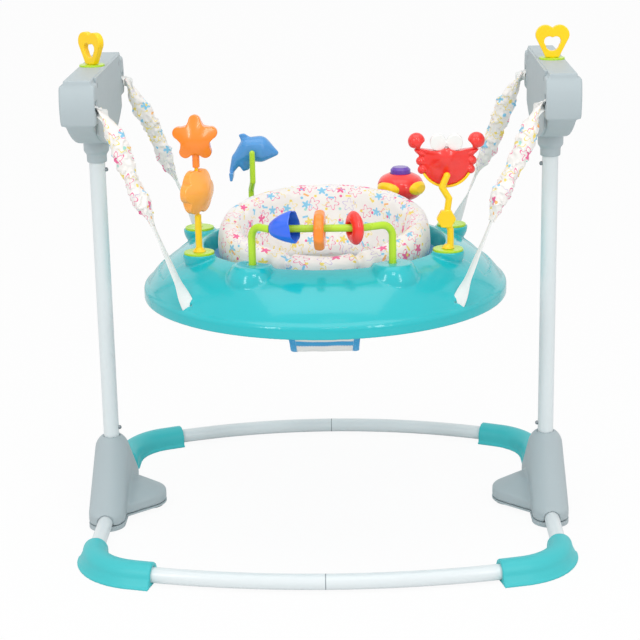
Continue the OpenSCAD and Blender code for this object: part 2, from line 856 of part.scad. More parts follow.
module head(side) {
    color(grey) on_side(side) translate([post_x, 0, 0]) difference() {
        union() {
            intersection() {
                across(cover_t - head_in, head_in + head_out - cover_t) arm_profile();
                translate([0, head_half_l, 0]) rotate([90, 0, 0]) linear_extrude(2 * head_half_l) arm_taper();
            }
            across(-nose_w / 2, nose_w) nose_profile();
            translate([0, 0, collar_bottom_z + collar_chamfer])
                cylinder(d = collar_d, h = nose_bottom_z - collar_bottom_z - collar_chamfer);
            translate([0, 0, collar_bottom_z]) cylinder(d1 = collar_d - 2 * collar_chamfer, d2 = collar_d, h = collar_chamfer);
            translate([0, 0, ferrule_bottom_z]) cylinder(d = ferrule_d, h = nose_bottom_z - ferrule_bottom_z);
        }
        across(-nose_w / 2 - cut, nose_w / 2 - head_in + cover_t + cut) translate([-nose_in_y, head_under_z])
            square([2 * nose_in_y, head_top_z - head_under_z + cut]);
        translate([0, 0, ferrule_bottom_z - cut]) cylinder(r = post_r + gap, h = post_top_z - ferrule_bottom_z + cut + gap);
        translate([0, 0, ferrule_bottom_z]) cylinder(r = spigot_r + gap, h = spigot_top_z - ferrule_bottom_z + gap);
        strap_pocket();
        cover_screw_places() translate([0, 0, -cut]) cylinder(r = screw_r + gap, h = screw_l + 2 * cut);
        translate([0, 0, head_top_z - heart_seat]) cylinder(d = heart_plate_d + 2 * gap, h = heart_seat + cut);
        translate([0, 0, head_top_z - heart_seat - heart_pin_l]) cylinder(r = heart_pin_r + gap, h = heart_pin_l + cut);
    }
}

module head_cover(side) {
    color(grey) on_side(side) translate([post_x, 0, 0]) difference() {
        across(-head_in, cover_t - gap) intersection() {
            arm_profile();
            translate([gap - nose_in_y, head_under_z]) square([2 * (nose_in_y - gap), head_top_z - head_under_z]);
        }
        translate([0, 0, head_under_z - cut]) cylinder(d = collar_d + 2 * gap, h = nose_bottom_z - head_under_z + cut + gap);
        cover_screw_places() {
            translate([0, 0, -cut]) cylinder(r = screw_head_r + gap, h = screw_head_h + cut);
            cylinder(r = screw_r + gap, h = 2 * cover_t);
        }
    }
}

module anchor_pins() {
    color(metal) four_corners() translate([post_x - pin_in, -anchor_y - pin_l / 2, anchor_z]) rotate([-90, 0, 0])
        cylinder(r = pin_r, h = pin_l);
}

// Hearts
module heart_plates() {
    color(lime) both_sides() translate([post_x, 0, head_top_z - heart_seat]) difference() {
        cylinder(d = heart_plate_d, h = heart_seat + heart_plate_up);
        translate([0, 0, -cut]) cylinder(r = heart_pin_r + gap, h = heart_seat + heart_plate_up + 2 * cut);
    }
}

// Two round lobes drawn down to a foot; a smaller copy of it opens the loop
module heart_outline(w) {
    for (m = [0, 1]) mirror([m, 0]) {
        translate(w * heart_lobe_at_shares) circle(w * heart_lobe_share);
        polygon(w * heart_side_shares);
    }
}

module heart_hole(w) {
    for (m = [0, 1]) mirror([m, 0]) translate(w * heart_hole_lobe_at_shares) circle(w * heart_hole_lobe_share);
    translate([0, -w * heart_hole_drop_share]) circle(w * heart_hole_foot_share);
}

module heart(side, turn) {
    foot_z = head_top_z + heart_plate_up + gap;
    color(yellow) on_side(side) translate([post_x, 0, foot_z]) rotate([0, 0, turn]) {
        translate([0, heart_t / 2, 0]) rotate([90, 0, 0]) linear_extrude(heart_t) difference() {
            heart_outline(heart_w);
            translate([0, heart_w * heart_hole_up_share]) heart_hole(heart_w - 2 * heart_band);
        }
        translate([0, 0, -heart_pin_l - heart_plate_up + gap]) cylinder(r = heart_pin_r, h = heart_pin_l + heart_plate_up);
    }
}

// Straps: everything here lies along the line from the tray slot up to the head
module on_strap() {
    four_corners() translate(strap_low) rotate([0, strap_tilt, strap_heading]) children();
}

// A flat webbing ribbon through stations of [point, turn]
module ribbon(stations, w, t) {
    loft([for (s = stations) [for (k = [[-1, -1], [1, -1], [1, 1], [-1, 1]])
        s[0] + [k[0] * w / 2 * cos(s[1]) - k[1] * t / 2 * sin(s[1]),
                k[0] * w / 2 * sin(s[1]) + k[1] * t / 2 * cos(s[1]), 0]]], slab = true);
}

module strap_tabs() {
    loop_r = pin_r + gap;
    run = post_x - pin_in - strap_high[0];
    color(webbing) {
        four_corners() translate([post_x - pin_in, -anchor_y, anchor_z]) {
            translate([0, strap_w / 2, 0]) rotate([90, 0, 0]) difference() {
                cylinder(r = loop_r + strap_t, h = strap_w);
                translate([0, 0, -cut]) cylinder(r = loop_r, h = strap_w + 2 * cut);
            }
            translate([-run - strap_t, -strap_w / 2, -strap_t / 2]) cube([run + strap_t - loop_r - gap, strap_w, strap_t]);
        }
        on_strap() ribbon([[[0, 0, spring_top + plug_flange_h + gap], 90], [[0, 0, strap_l], 90]], strap_w, strap_t);
    }
}

module spring_plug() {
    cylinder(r = spring_r, h = plug_flange_h);
    translate([0, 0, -plug_core_l]) cylinder(r = plug_core_r, h = plug_core_l + plug_flange_h);
}

module spring_plugs() {
    color(grey) on_strap() {
        translate([0, 0, spring_top]) spring_plug();
        translate([0, 0, spring_bottom]) mirror([0, 0, 1]) spring_plug();
    }
}

// A helix of round wire with flat-cut ends
module coil(r, wire, turns, h, rings_a_turn = coil_rings, wire_sides = 6) {
    climb = (h - wire) / turns;
    slope = atan(climb / (2 * PI * r));
    loft([for (i = [0 : turns * rings_a_turn])
        let (a = i * 360 / rings_a_turn)
        [for (j = [0 : wire_sides - 1])
            let (b = -j * 360 / wire_sides, out = r + wire / 2 * cos(b), up = wire / 2 * sin(b))
            [out * cos(a) + up * sin(slope) * sin(a), out * sin(a) - up * sin(slope) * cos(a),
             wire / 2 + climb * a / 360 + up * cos(slope)]]]);
}

module coil_springs() {
    echo(least_gap_between_coils = spring_pitch - 2 * spring_wire);
    color(metal) on_strap() translate([0, 0, spring_bottom + gap])
        coil(spring_r - spring_wire / 2, spring_wire, spring_turns, spring_l - 2 * gap);
}

// Share of the full sleeve width at a share of its length, narrow at both ends
function sleeve_fill(s) = pow(sin(180 * (sleeve_end_share + (1 - 2 * sleeve_end_share) * s)), sleeve_full_share);

function sleeve_ring(s, inset) =
    let (fill = (sleeve_fill(s) - sleeve_fill(0)) / (1 - sleeve_fill(0)),
         half_w = sleeve_end_half_w + fill * (sleeve_half_w - sleeve_end_half_w) - inset,
         half_t = sleeve_end_half_t + fill * (sleeve_mid_half_t - sleeve_end_half_t) - inset)
    [for (j = [0 : sleeve_sides - 1])
        let (b = j * 360 / sleeve_sides,
             pucker = fill * sleeve_pucker * sin(900 * s + 2 * b) * (1 - sleeve_fade_share * s))
        [(half_t + max(0, pucker)) * cos(b), (half_w + pucker) * sin(b),
         sleeve_top + s * (sleeve_bottom - sleeve_top)]];

// The outer skin runs down and the inner skin runs back up, closed to a hollow sleeve
module strap_sleeves() {
    outer = [for (i = [sleeve_rings : -1 : 0]) sleeve_ring(i / sleeve_rings, 0)];
    inner = [for (i = [0 : sleeve_rings]) sleeve_ring(i / sleeve_rings, sleeve_t)];
    color(print) on_strap() loft(concat(outer, inner), closed = true);
}

module lower_straps() {
    top = spring_bottom - plug_flange_h - gap;
    low = -keeper_drop;
    steps = 20;
    color(webbing) on_strap() ribbon([for (i = [0 : steps])
        let (z = low + (top - low) * i / steps, s = max(0, 1 - max(0, z) / (top * strap_twist_share)))
        [[0, 0, z], 90 - strap_twist * s]], strap_w, strap_t);
}

module strap_keepers() {
    color(dark) on_strap() translate([0, 0, -keeper_drop - keeper_r - gap]) rotate([0, 0, -strap_twist])
        rotate([90, 0, 0]) cylinder(r = keeper_r, h = keeper_l, center = true);
}

// Tray
module deck_ring_section(depth, over = 0) {
    intersection() {
        translate(deck_c) difference() {
            circle(deck_arc_r + over, $fn = 200);
            circle(deck_arc_r - depth, $fn = 200);
        }
        translate([opening_r, rim_bottom_z]) square([chord_r - opening_r, opening_z]);
    }
}

module rim_section() {
    corner = [rim_r - rim_round, rim_bottom_z + rim_h - rim_round];
    translate(corner) intersection() {
        difference() {
            circle(rim_round);
            circle(rim_round - tray_t);
        }
        square(rim_round);
    }
    translate([rim_r - tray_t, rim_bottom_z]) square([tray_t, rim_h - rim_round]);
}

module well_section() {
    polygon([[opening_r, opening_z], [well_r, ledge_z], [ledge_in_r, ledge_z], [ledge_in_r, ledge_z - ledge_t],
        [well_r + well_t, ledge_z - ledge_t], [opening_r + well_t, opening_z - well_t]]);
}

// What lies under the middle of the deck's wall, to trim the pods by
module under_deck() {
    rotate_extrude($fn = 180) intersection() {
        translate(deck_c) circle(deck_arc_r - tray_t / 2, $fn = 200);
        translate([well_r, 0]) square([rim_r, 2 * opening_z]);
    }
}

// Places its children at the six capped pods
module cap_places() {
    for (p = [front_at, rear_at, back_at], side = [LEFT, RIGHT]) on_side(side) translate(p) children();
}

module bar_pod_places() {
    both_sides() translate([bar_half_w, -bar_leg_y, bar_pod_z]) children();
}

module tray_skin() {
    pod_r = cap_d / 2 + pod_wall;
    rotate_extrude($fn = 180) {
        deck_ring_section(tray_t);
        rim_section();
        well_section();
    }
    difference() {
        union() {
            cap_places() translate([0, 0, -pod_h]) cylinder(r1 = pod_r + pod_flare, r2 = pod_r, h = pod_h);
            bar_pod_places() bar_dome();
        }
        under_deck();
        cylinder(r = opening_r + pod_setback, h = 2 * opening_z, $fn = 180);
    }
}

// The round pod of the bead bar, its top cut flat
module bar_dome() {
    rise = sqrt(bar_pod_r * bar_pod_r - bar_pod_flat_r * bar_pod_flat_r);
    intersection() {
        translate([0, 0, -rise]) sphere(bar_pod_r);
        translate([0, 0, -2 * bar_pod_r]) cylinder(r = 2 * bar_pod_r, h = 2 * bar_pod_r);
    }
}

module tray() {
    color(teal) difference() {
        union() {
            tray_skin();
            cap_places() translate([0, 0, -pod_top_t - boss_l + cut]) cylinder(d = peg_d + 2 * boss_wall, h = boss_l);
            bar_pod_places() translate([0, 0, -tray_t - boss_l + cut]) cylinder(d = bar_d + 2 * boss_wall, h = boss_l);
        }
        cap_places() {
            translate([0, 0, -cap_sunk]) cylinder(d = cap_d + 2 * gap, h = cap_sunk + cut);
            translate([0, 0, -pod_h]) cylinder(d = peg_d + 2 * gap, h = 2 * pod_h);
        }
        bar_pod_places() translate([0, 0, -pod_h]) cylinder(d = bar_d + 2 * gap, h = 2 * pod_h);
        on_strap() rotate([0, 0, 90 - strap_twist])
            cube([strap_w + 2 * slot_room, strap_t + 2 * slot_room, 2 * keeper_drop], center = true);
        for (side = [LEFT, RIGHT]) on_side(side) rotate([0, 0, -recess_half_a])
            rotate_extrude(angle = 2 * recess_half_a) intersection() {
                deck_ring_section(recess_depth, cut);
                translate([recess_in_r, 0]) square([recess_out_r - recess_in_r, 2 * opening_z]);
            }
    }
}

module socket_caps() {
    color(lime) cap_places() translate([0, 0, -cap_sunk]) difference() {
        cylinder(d = cap_d, h = cap_t);
        translate([0, 0, -cut]) cylinder(d = peg_d + 2 * gap, h = cap_t + 2 * cut);
    }
}

// Bead bar: each leg bends over towards its end of the middle run
module bar_end(leg_x, run_x) {
    r = bar_d / 2;
    heading = atan2(-bar_jog, run_x - leg_x);
    bend = bar_bend_r - bar_lap;
    rod([leg_x, -bar_leg_y, bar_pod_z - boss_l], [leg_x, -bar_leg_y, bar_z - bend], r);
    translate([leg_x, -bar_leg_y, bar_z - bar_bend_r]) rotate([0, 0, heading]) translate([bar_bend_r, 0, 0])
        rotate([90, 0, 0]) rotate([0, 0, 90]) rotate_extrude(angle = 90) translate([bar_bend_r, 0]) circle(r + swage);
    rod([leg_x + bend * cos(heading), bend * sin(heading) - bar_leg_y, bar_z], [run_x, -bar_run_y, bar_z], r);
    translate([run_x, -bar_run_y, bar_z]) sphere(r + swage);
}

module bead_bar() {
    color(lime) {
        bar_end(-bar_half_w, bar_run_left);
        bar_end(bar_half_w, bar_run_right);
        rod([bar_run_left, -bar_run_y, bar_z], [bar_run_right, -bar_run_y, bar_z], bar_d / 2);
    }
}

// A bead turned about the bar, its outline given as [along, radius]
module on_bar(x, drop = 0) {
    translate([x, -bar_run_y, bar_z - drop]) rotate([0, 90, 0]) children();
}

// How far a bead hangs down until its hole rests on the bar
function bead_drop() = (bead_hole_d - bar_d) / 2 - gap;

// The blue bead: a cone that opens to a scalloped rim
module bead_fish() {
    h = bead_fish_half_l;
    rim_l = h * bead_fish_rim_share;
    color(bead_blue) on_bar(bead_fish_x, bead_drop()) difference() {
        union() {
            translate([0, 0, -h]) cylinder(r1 = bead_fish_end_r, r2 = bead_fish_r, h = 2 * h - rim_l);
            translate([0, 0, h - rim_l - cut]) cylinder(r = bead_fish_r + swage, h = rim_l + cut);
        }
        translate([0, 0, -h - cut]) cylinder(d = bead_hole_d, h = 2 * (h + cut));
        for (i = [0 : 5]) rotate([0, 0, 30 + i * 60]) translate([bead_fish_r, 0, h - rim_l])
            cylinder(r = bead_fish_r * bead_fish_notch_share, h = rim_l + cut, $fn = 24);
    }
}

// A round ring with a full edge
module ring_bead(d, t) {
    edge = t / 2;
    translate([bead_drop(), 0, 0]) difference() {
        rotate_extrude() {
            translate([d / 2 - edge, 0]) circle(edge);
            translate([0, -edge]) square([d / 2 - edge, t]);
        }
        translate([0, 0, -t]) cylinder(d = bead_hole_d, h = 2 * t);
    }
}

module bead_orange() {
    color(orange) on_bar(orange_x) ring_bead(orange_d, orange_t);
}

module bead_red() {
    r = (red_d * red_d / 4 + red_t * red_t / 4) / red_t;
    color(red) on_bar(red_x, bead_drop()) difference() {
        intersection() {
            translate([0, 0, red_t / 2 - r]) sphere(r);
            translate([0, 0, r - red_t / 2]) sphere(r);
            cylinder(d = red_d * red_rim_share, h = red_t, center = true);
        }
        translate([0, 0, -red_t]) cylinder(d = bead_hole_d, h = 2 * red_t);
    }
}

// A flat outline swollen to a lens
module puffed(w, t) {
    r = (w * w / 4 + t * t / 4) / t;
    rotate([90, 0, 0]) intersection() {
        translate([0, 0, -t]) linear_extrude(2 * t) children();
        translate([0, 0, t / 2 - r]) sphere(r);
        translate([0, 0, r - t / 2]) sphere(r);
    }
}

module star_outline(w) {
    tip = w * star_tip_share;
    out = w / 2 - tip;
    root = out * star_root_share;
    polygon([for (i = [0 : 9]) let (a = 90 + i * 36, r = (i % 2 == 0 ? 1 : star_valley_share) * out) r * [cos(a), sin(a)]]);
    for (i = [0 : 4]) rotate(90 + i * 72) {
        translate([out, 0]) circle(tip);
        polygon([[root, -tip * star_root_w_share], [out, -tip], [out, tip], [root, tip * star_root_w_share]]);
    }
}

module flower_outline(w) {
    petal = w * petal_share;
    circle(w / 2 - petal);
    for (i = [0 : 5]) rotate(i * 60) translate([w / 2 - petal, 0]) circle(petal);
}

module at_left_front() {
    translate([-front_at[0], front_at[1], 0]) children();
}

// The peg in the socket and the flared foot on the cap
module stalk_foot() {
    translate([0, 0, front_at[2] - boss_l]) cylinder(d = peg_d, h = boss_l + cap_t);
    translate([0, 0, stalk_foot_z]) cylinder(d1 = 2 * stalk_d, d2 = stalk_d + swage, h = stalk_d * stalk_foot_share);
}

module star_stalk() {
    neck_z = flower_z - flower_w / 2;
    color(yellow) at_left_front() {
        stalk_foot();
        translate([0, 0, stalk_z]) cylinder(d = stalk_d, h = neck_z - gap - stalk_z);
        translate([0, 0, neck_z - cut]) cylinder(r = spindle_r, h = star_z - neck_z);
    }
}

module flower() {
    color(amber) at_left_front() translate([0, 0, flower_z]) difference() {
        rotate([0, 0, flower_turn]) puffed(flower_w * puff_w_share, star_t * flower_puff_share) flower_outline(flower_w);
        cylinder(r = spindle_r + gap, h = 2 * flower_w, center = true);
    }
}

module star() {
    color(orange) at_left_front() translate([0, 0, star_z]) difference() {
        union() {
            puffed(star_w * puff_w_share, star_t * star_puff_share) star_outline(star_w);
            translate([0, 0, flower_z + flower_w / 2 + gap - star_z])
                cylinder(r = star_neck_r, h = star_z - flower_z - flower_w / 2);
        }
        translate([0, 0, -star_w]) cylinder(r = spindle_r + gap, h = star_w + gap);
    }
}

// Crab: it rocks on a pin at the end of a crooked stalk that passes in front of it
module at_right_front() {
    translate([front_at[0], front_at[1], 0]) children();
}

function crab_stalk_at(k) = [crab_stalk_across[k], 0,
    front_at[2] + cap_t + crab_stalk_up_shares[k] * (crab_z - crab_pin_drop - front_at[2] - cap_t)];

module crab_stalk() {
    r = stalk_d / 2;
    last = len(crab_stalk_across) - 1;
    color(yellow) at_right_front() {
        stalk_foot();
        for (k = [0 : last - 1]) rod(crab_stalk_at(k), crab_stalk_at(k + 1), r);
        for (k = [1 : last]) translate(crab_stalk_at(k)) sphere(r + swage);
        translate(crab_stalk_at(2) + [0, crab_knot_t / 2, 0]) rotate([90, 0, 0]) cylinder(r = crab_knot_r, h = crab_knot_t, $fn = 6);
        translate(crab_stalk_at(last)) rotate([-90, 0, 0]) cylinder(r = crab_pin_r, h = crab_back);
    }
}

// Draws its children about the middle of the crab's round lower half
module at_crab() {
    at_right_front() translate([crab_stalk_across[len(crab_stalk_across) - 1], crab_back, crab_z]) children();
}

// A round shell, cut level under the eyes
module crab_outline() {
    difference() {
        circle(crab_r);
        translate([-crab_r, crab_r * crab_brow_share]) square(2 * crab_r);
    }
}

module crab_body() {
    color(red) at_crab() difference() {
        union() {
            puffed(2 * crab_r * crab_puff_share, crab_t) crab_outline();
            for (m = [-1, 1]) {
                elbow = crab_r * [m * crab_elbow_shares[0], 0, crab_elbow_shares[1]];
                claw = crab_r * [m * crab_claw_shares[0], 0, crab_claw_shares[1]];
                rod(elbow, claw, claw_r / 2);
                translate(claw) sphere(claw_r);
                for (a = crab_leg_as) rotate([0, m * a, 0]) translate([0, 0, crab_r]) sphere(claw_r * crab_leg_share);
            }
        }
        translate([0, -crab_back, -crab_pin_drop]) rotate([-90, 0, 0]) cylinder(r = crab_pin_r + gap, h = crab_back + gap);
        crab_eye_places() crab_eye(gap);
        crab_rim_band(gap);
    }
}

module crab_eye_places() {
    for (m = [-1, 1]) translate([m * (eye_r + 2 * gap), 0, crab_r * crab_brow_share + eye_r - eye_sunk]) children();
}

module crab_eye(grow) {
    rotate([90, 0, 0]) cylinder(r = eye_r + grow, h = eye_t + 2 * grow, center = true);
}

module crab_eyes() {
    color(webbing) at_crab() crab_eye_places() crab_eye(0);
}

// Half ring round the shell's lower edge
module crab_rim_band(grow) {
    grow_a = grow / crab_r * 180 / PI;
    rotate([90, 0, 0]) rotate([0, 0, 270 - crab_rim_a - grow_a]) rotate_extrude(angle = 2 * (crab_rim_a + grow_a))
        translate([crab_r, 0]) square([crab_rim_w, crab_rim_t] + 2 * grow * [1, 1], center = true);
}

module crab_rim() {
    color(yellow) at_crab() crab_rim_band(0);
}

// Dolphin
module at_left_back() {
    translate([-back_at[0], back_at[1], 0]) children();
}

module dolphin_stem() {
    r = peg_d / 2;
    front_y = -dolphin_half_t - dolphin_gap - r;
    jog_low = [0, 0, (back_at[2] + dolphin_z) / 2 - peg_d];
    jog_high = [r, front_y, (back_at[2] + dolphin_z) / 2 + peg_d];
    top = [r, front_y, dolphin_z + r];
    color(lime) at_left_back() {
        translate([0, 0, back_at[2] - boss_l]) cylinder(r = r, h = jog_low[2] - back_at[2] + boss_l);
        translate(jog_low) sphere(r + swage);
        rod(jog_low, jog_high, r);
        translate(jog_high) sphere(r + swage);
        rod(jog_high, top, r);
        translate(top) sphere(r + swage);
        translate([r, front_y, dolphin_z]) rotate([-90, 0, 0]) cylinder(r = dolphin_pin_r, h = dolphin_half_t * dolphin_pin_share);
    }
}

module dolphin() {
    u = dolphin_half_t;
    tail = u * dolphin_shares[0];
    color(sea_blue) at_left_back() translate([peg_d / 2, 0, dolphin_z]) difference() {
        union() {
            for (i = [0 : len(dolphin_shares) - 2]) hull() for (k = [i, i + 1])
                translate(u * [dolphin_shares[k][0], 0, dolphin_shares[k][1]]) sphere(r = u * dolphin_shares[k][2], $fn = 18);
            dolphin_blade(u * dolphin_fin_share) polygon(u * dolphin_fin_shares);
            translate([tail[0], 0, tail[1]]) dolphin_blade(u * dolphin_fluke_share) polygon(u * dolphin_fluke_shares);
        }
        translate([0, -2 * u, 0]) rotate([-90, 0, 0]) cylinder(r = dolphin_pin_r + gap, h = 4 * u);
    }
}

// An upright outline given a thickness about the middle plane
module dolphin_blade(t) {
    translate([0, t / 2, 0]) rotate([90, 0, 0]) linear_extrude(t) children();
}

// Fish with a push button
module at_right_back() {
    translate([back_at[0], back_at[1], 0]) children();
}

module fish_body() {
    h = 2 * fish_side_r;
    top = fish_z + fish_side_r;
    color(red) at_right_back() difference() {
        union() {
            translate([0, 0, fish_z]) rotate_extrude() {
                translate([fish_core_r, 0]) intersection() {
                    circle(fish_side_r);
                    translate([0, -h]) square([h, 2 * h]);
                }
                translate([0, -fish_side_r]) square([fish_core_r, h]);
            }
            translate([0, 0, back_at[2] + cap_t - cap_sunk + gap]) cylinder(r = peg_d, h = fish_z - back_at[2] - cap_t);
            translate([0, 0, back_at[2] - boss_l]) cylinder(d = peg_d, h = fish_z - back_at[2]);
        }
        translate([0, 0, top - fish_spring_h - fish_press]) cylinder(r = fish_button_r + gap, h = h);
        fin_places() cylinder(r = fin_r + gap, h = fin_t);
    }
}

module fin_places() {
    for (m = [-1, 1]) translate([0, 0, fish_z]) rotate([0, 90, m * fin_a - 90])
        translate([0, 0, fish_core_r + fish_side_r - fin_t * fin_sunk_share]) children();
}

module fish_fins() {
    color(fin_yellow) at_right_back() fin_places() {
        translate([0, 0, gap]) cylinder(r = fin_r, h = fin_t / 2);
        translate([0, 0, fin_t / 2]) cylinder(r1 = fin_r, r2 = fin_r * fin_tip_share, h = fin_t / 2);
    }
}

module fish_button() {
    top = fish_z + fish_side_r;
    color(purple) at_right_back() translate([0, 0, top - fish_press + gap]) {
        cylinder(r = fish_button_r, h = 2 * fish_press);
        translate([0, 0, 2 * fish_press]) cylinder(r1 = fish_button_r, r2 = fish_button_r * fish_button_tip_share, h = button_out);
    }
}

module fish_spring() {
    color(metal) at_right_back() translate([0, 0, fish_z + fish_side_r - fish_spring_h - fish_press])
        coil(fish_spring_r, fish_spring_wire, fish_spring_turns, fish_spring_h);
}

// Seat
module seat_ring() {
    color(ring_blue) rotate_extrude($fn = 180) {
        translate([ring_in_r, ledge_z + gap]) square([ring_out_r - ring_in_r, ring_t]);
        translate([ring_in_r, retainer_z]) square([ring_skirt_r - ring_in_r, ledge_z - retainer_z + ring_t]);
    }
}

module seat_retainer() {
    color(ring_blue) difference() {
        rotate_extrude($fn = 180) translate([ring_in_r, retainer_z - retainer_t])
            square([retainer_out_r - ring_in_r, retainer_t]);
        for (i = [0 : clip_count - 1]) rotate([0, 0, i * 360 / clip_count])
            translate([ledge_in_r, -clip_w / 2, retainer_z - retainer_t - cut]) cube([retainer_out_r, clip_w, retainer_t + 2 * cut]);
    }
}

// Height of the pad round the seat: high at the back, low at the front, with two creases in front
function crease(a) = 1 - pad_crease * (exp(-pow((a + 90 - crease_a) / crease_spread, 2))
    + exp(-pow((a + 90 + crease_a) / crease_spread, 2)));
function pad_height(a) = pad_front_h + (pad_back_h - pad_front_h) * pow((1 + sin(a)) / 2, pad_rise_power);
function soft(v) = sign(v) * pow(abs(v), pad_square_share);

module seat_pad() {
    color(print) loft([for (i = [0 : seat_pad_steps - 1])
        let (a = -180 + i * 360 / seat_pad_steps, h = pad_height(a) * crease(a), half = seat_pad_half * crease(a))
        [for (j = [0 : seat_pad_sides - 1])
            let (b = -j * 360 / seat_pad_sides, r = seat_pad_r + half * soft(cos(b)))
            [r * cos(a), r * sin(a), seat_pad_z + h / 2 * (1 + soft(sin(b)))]]], closed = true);
}

// The sling runs from the front of the ring, down under the seat and up to the back
function sling_w_at(s) = let (end = pow(abs(2 * s - 1), sling_spread_power))
    sling_w + end * ((2 * s < 1 ? sling_front_w : sling_back_w) - sling_w);
function sling_drop(s) = pow(max(0, sin(180 * s)), sling_drop_power);
function sling_y(s) = 2 * s < 1 ? -sling_reach(2 * s, sling_floor_front) : sling_reach(2 * (1 - s), sling_floor_back);
function sling_reach(t, flat) = sling_r - (sling_r - flat) * pow(t, sling_in_power) - flat * pow(t, sling_flat_power);
function sling_point(s, u, drop) =
    let (x = u * sling_w_at(s) / 2, end = pow(abs(2 * s - 1), sling_turn_power),
         bend = abs(2 * s - 1) * (sling_r - sqrt(sling_r * sling_r - x * x)))
    [x, sling_y(s) + (2 * s < 1 ? 1 : -1) * (bend + drop * end), sling_top_z - (sling_top_z - sling_bottom_z) * sling_drop(s)
        + drop * (1 - end)];

module seat_sling() {
    color(webbing) loft([for (i = [0 : sling_rings]) let (s = i / sling_rings)
        concat([for (j = [sling_cols : -1 : 0]) sling_point(s, 2 * j / sling_cols - 1, 0)],
            [for (j = [0 : sling_cols]) sling_point(s, 2 * j / sling_cols - 1, sling_t)])], slab = true);
}

base_tube_left();
base_tube_right();
boot(LEFT, FRONT);  // boot_front_left
boot(RIGHT, FRONT);  // boot_front_right
boot(LEFT, BACK);  // boot_back_left
boot(RIGHT, BACK);  // boot_back_right
hub(LEFT);  // hub_left
hub(RIGHT);  // hub_right
hub_plate(LEFT);  // hub_plate_left
hub_plate(RIGHT);  // hub_plate_right
rubber_pads();
frame_screws();
post_stub(LEFT);  // post_stub_left
post_stub(RIGHT);  // post_stub_right
post(LEFT);  // post_left
post(RIGHT);  // post_right
head_spigots();
leaf_springs();
snap_button(LEFT, low_button_z);  // low_button_left
snap_button(RIGHT, low_button_z);  // low_button_right
snap_button(LEFT, high_button_z);  // high_button_left
snap_button(RIGHT, high_button_z);  // high_button_right
head(LEFT);  // head_left
head(RIGHT);  // head_right
head_cover(LEFT);  // head_cover_left
head_cover(RIGHT);  // head_cover_right
anchor_pins();
heart_plates();
heart(LEFT, left_heart_turn);  // heart_left
heart(RIGHT, 0);  // heart_right
strap_tabs();
spring_plugs();
coil_springs();
strap_sleeves();
lower_straps();
strap_keepers();
tray();
socket_caps();
bead_bar();
bead_fish();
bead_orange();
bead_red();
star_stalk();
flower();
star();
crab_stalk();
crab_body();
crab_rim();
crab_eyes();
dolphin_stem();
dolphin();
fish_body();
fish_fins();
fish_button();
fish_spring();
seat_ring();
seat_retainer();
seat_pad();
seat_sling();
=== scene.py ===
import bpy, bmesh, json, math
from mathutils import Matrix, Vector, noise


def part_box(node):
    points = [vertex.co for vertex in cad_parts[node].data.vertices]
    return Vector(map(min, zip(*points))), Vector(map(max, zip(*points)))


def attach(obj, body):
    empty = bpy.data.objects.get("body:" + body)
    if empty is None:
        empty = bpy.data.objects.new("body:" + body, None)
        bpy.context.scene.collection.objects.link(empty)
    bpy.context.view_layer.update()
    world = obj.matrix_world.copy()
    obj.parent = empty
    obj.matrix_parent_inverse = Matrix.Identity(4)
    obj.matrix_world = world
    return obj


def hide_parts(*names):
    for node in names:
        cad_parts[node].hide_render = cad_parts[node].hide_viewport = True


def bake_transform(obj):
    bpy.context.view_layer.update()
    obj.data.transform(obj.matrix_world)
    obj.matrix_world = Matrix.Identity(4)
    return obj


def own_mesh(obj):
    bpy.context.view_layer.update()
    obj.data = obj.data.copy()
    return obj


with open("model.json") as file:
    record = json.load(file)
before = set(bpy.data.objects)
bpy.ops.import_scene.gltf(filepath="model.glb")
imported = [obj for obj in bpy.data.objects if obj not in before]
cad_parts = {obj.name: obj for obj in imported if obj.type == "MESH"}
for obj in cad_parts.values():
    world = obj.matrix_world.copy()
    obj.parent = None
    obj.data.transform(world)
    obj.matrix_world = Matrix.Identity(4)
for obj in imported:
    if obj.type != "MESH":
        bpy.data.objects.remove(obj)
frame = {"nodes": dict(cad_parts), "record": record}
node, record = frame["nodes"], frame["record"]
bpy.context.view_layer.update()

# Camera: a long lens a little above the tray that looks along +Y and slightly down. Its turns, lens and place were
# fitted to points of the photo.
yaw, pitch, roll = math.radians(-1.351), math.radians(15.854), math.radians(-1.072)
ahead = Vector((math.sin(yaw) * math.cos(pitch), math.cos(yaw) * math.cos(pitch), -math.sin(pitch)))
right = Vector((math.cos(yaw), -math.sin(yaw), 0))
up = right.cross(ahead)
right, up = (math.cos(roll) * right + math.sin(roll) * up, math.cos(roll) * up - math.sin(roll) * right)
camera = bpy.data.objects.new("camera", bpy.data.cameras.new("camera"))
camera.data.sensor_width, camera.data.lens = 36, 99.52
camera.data.clip_end = 50
camera.matrix_world = Matrix((right, up, -ahead)).transposed().to_4x4()
camera.location = (0.0590, -2.9348, 1.1698)
bpy.context.collection.objects.link(camera)
bpy.context.scene.camera = camera


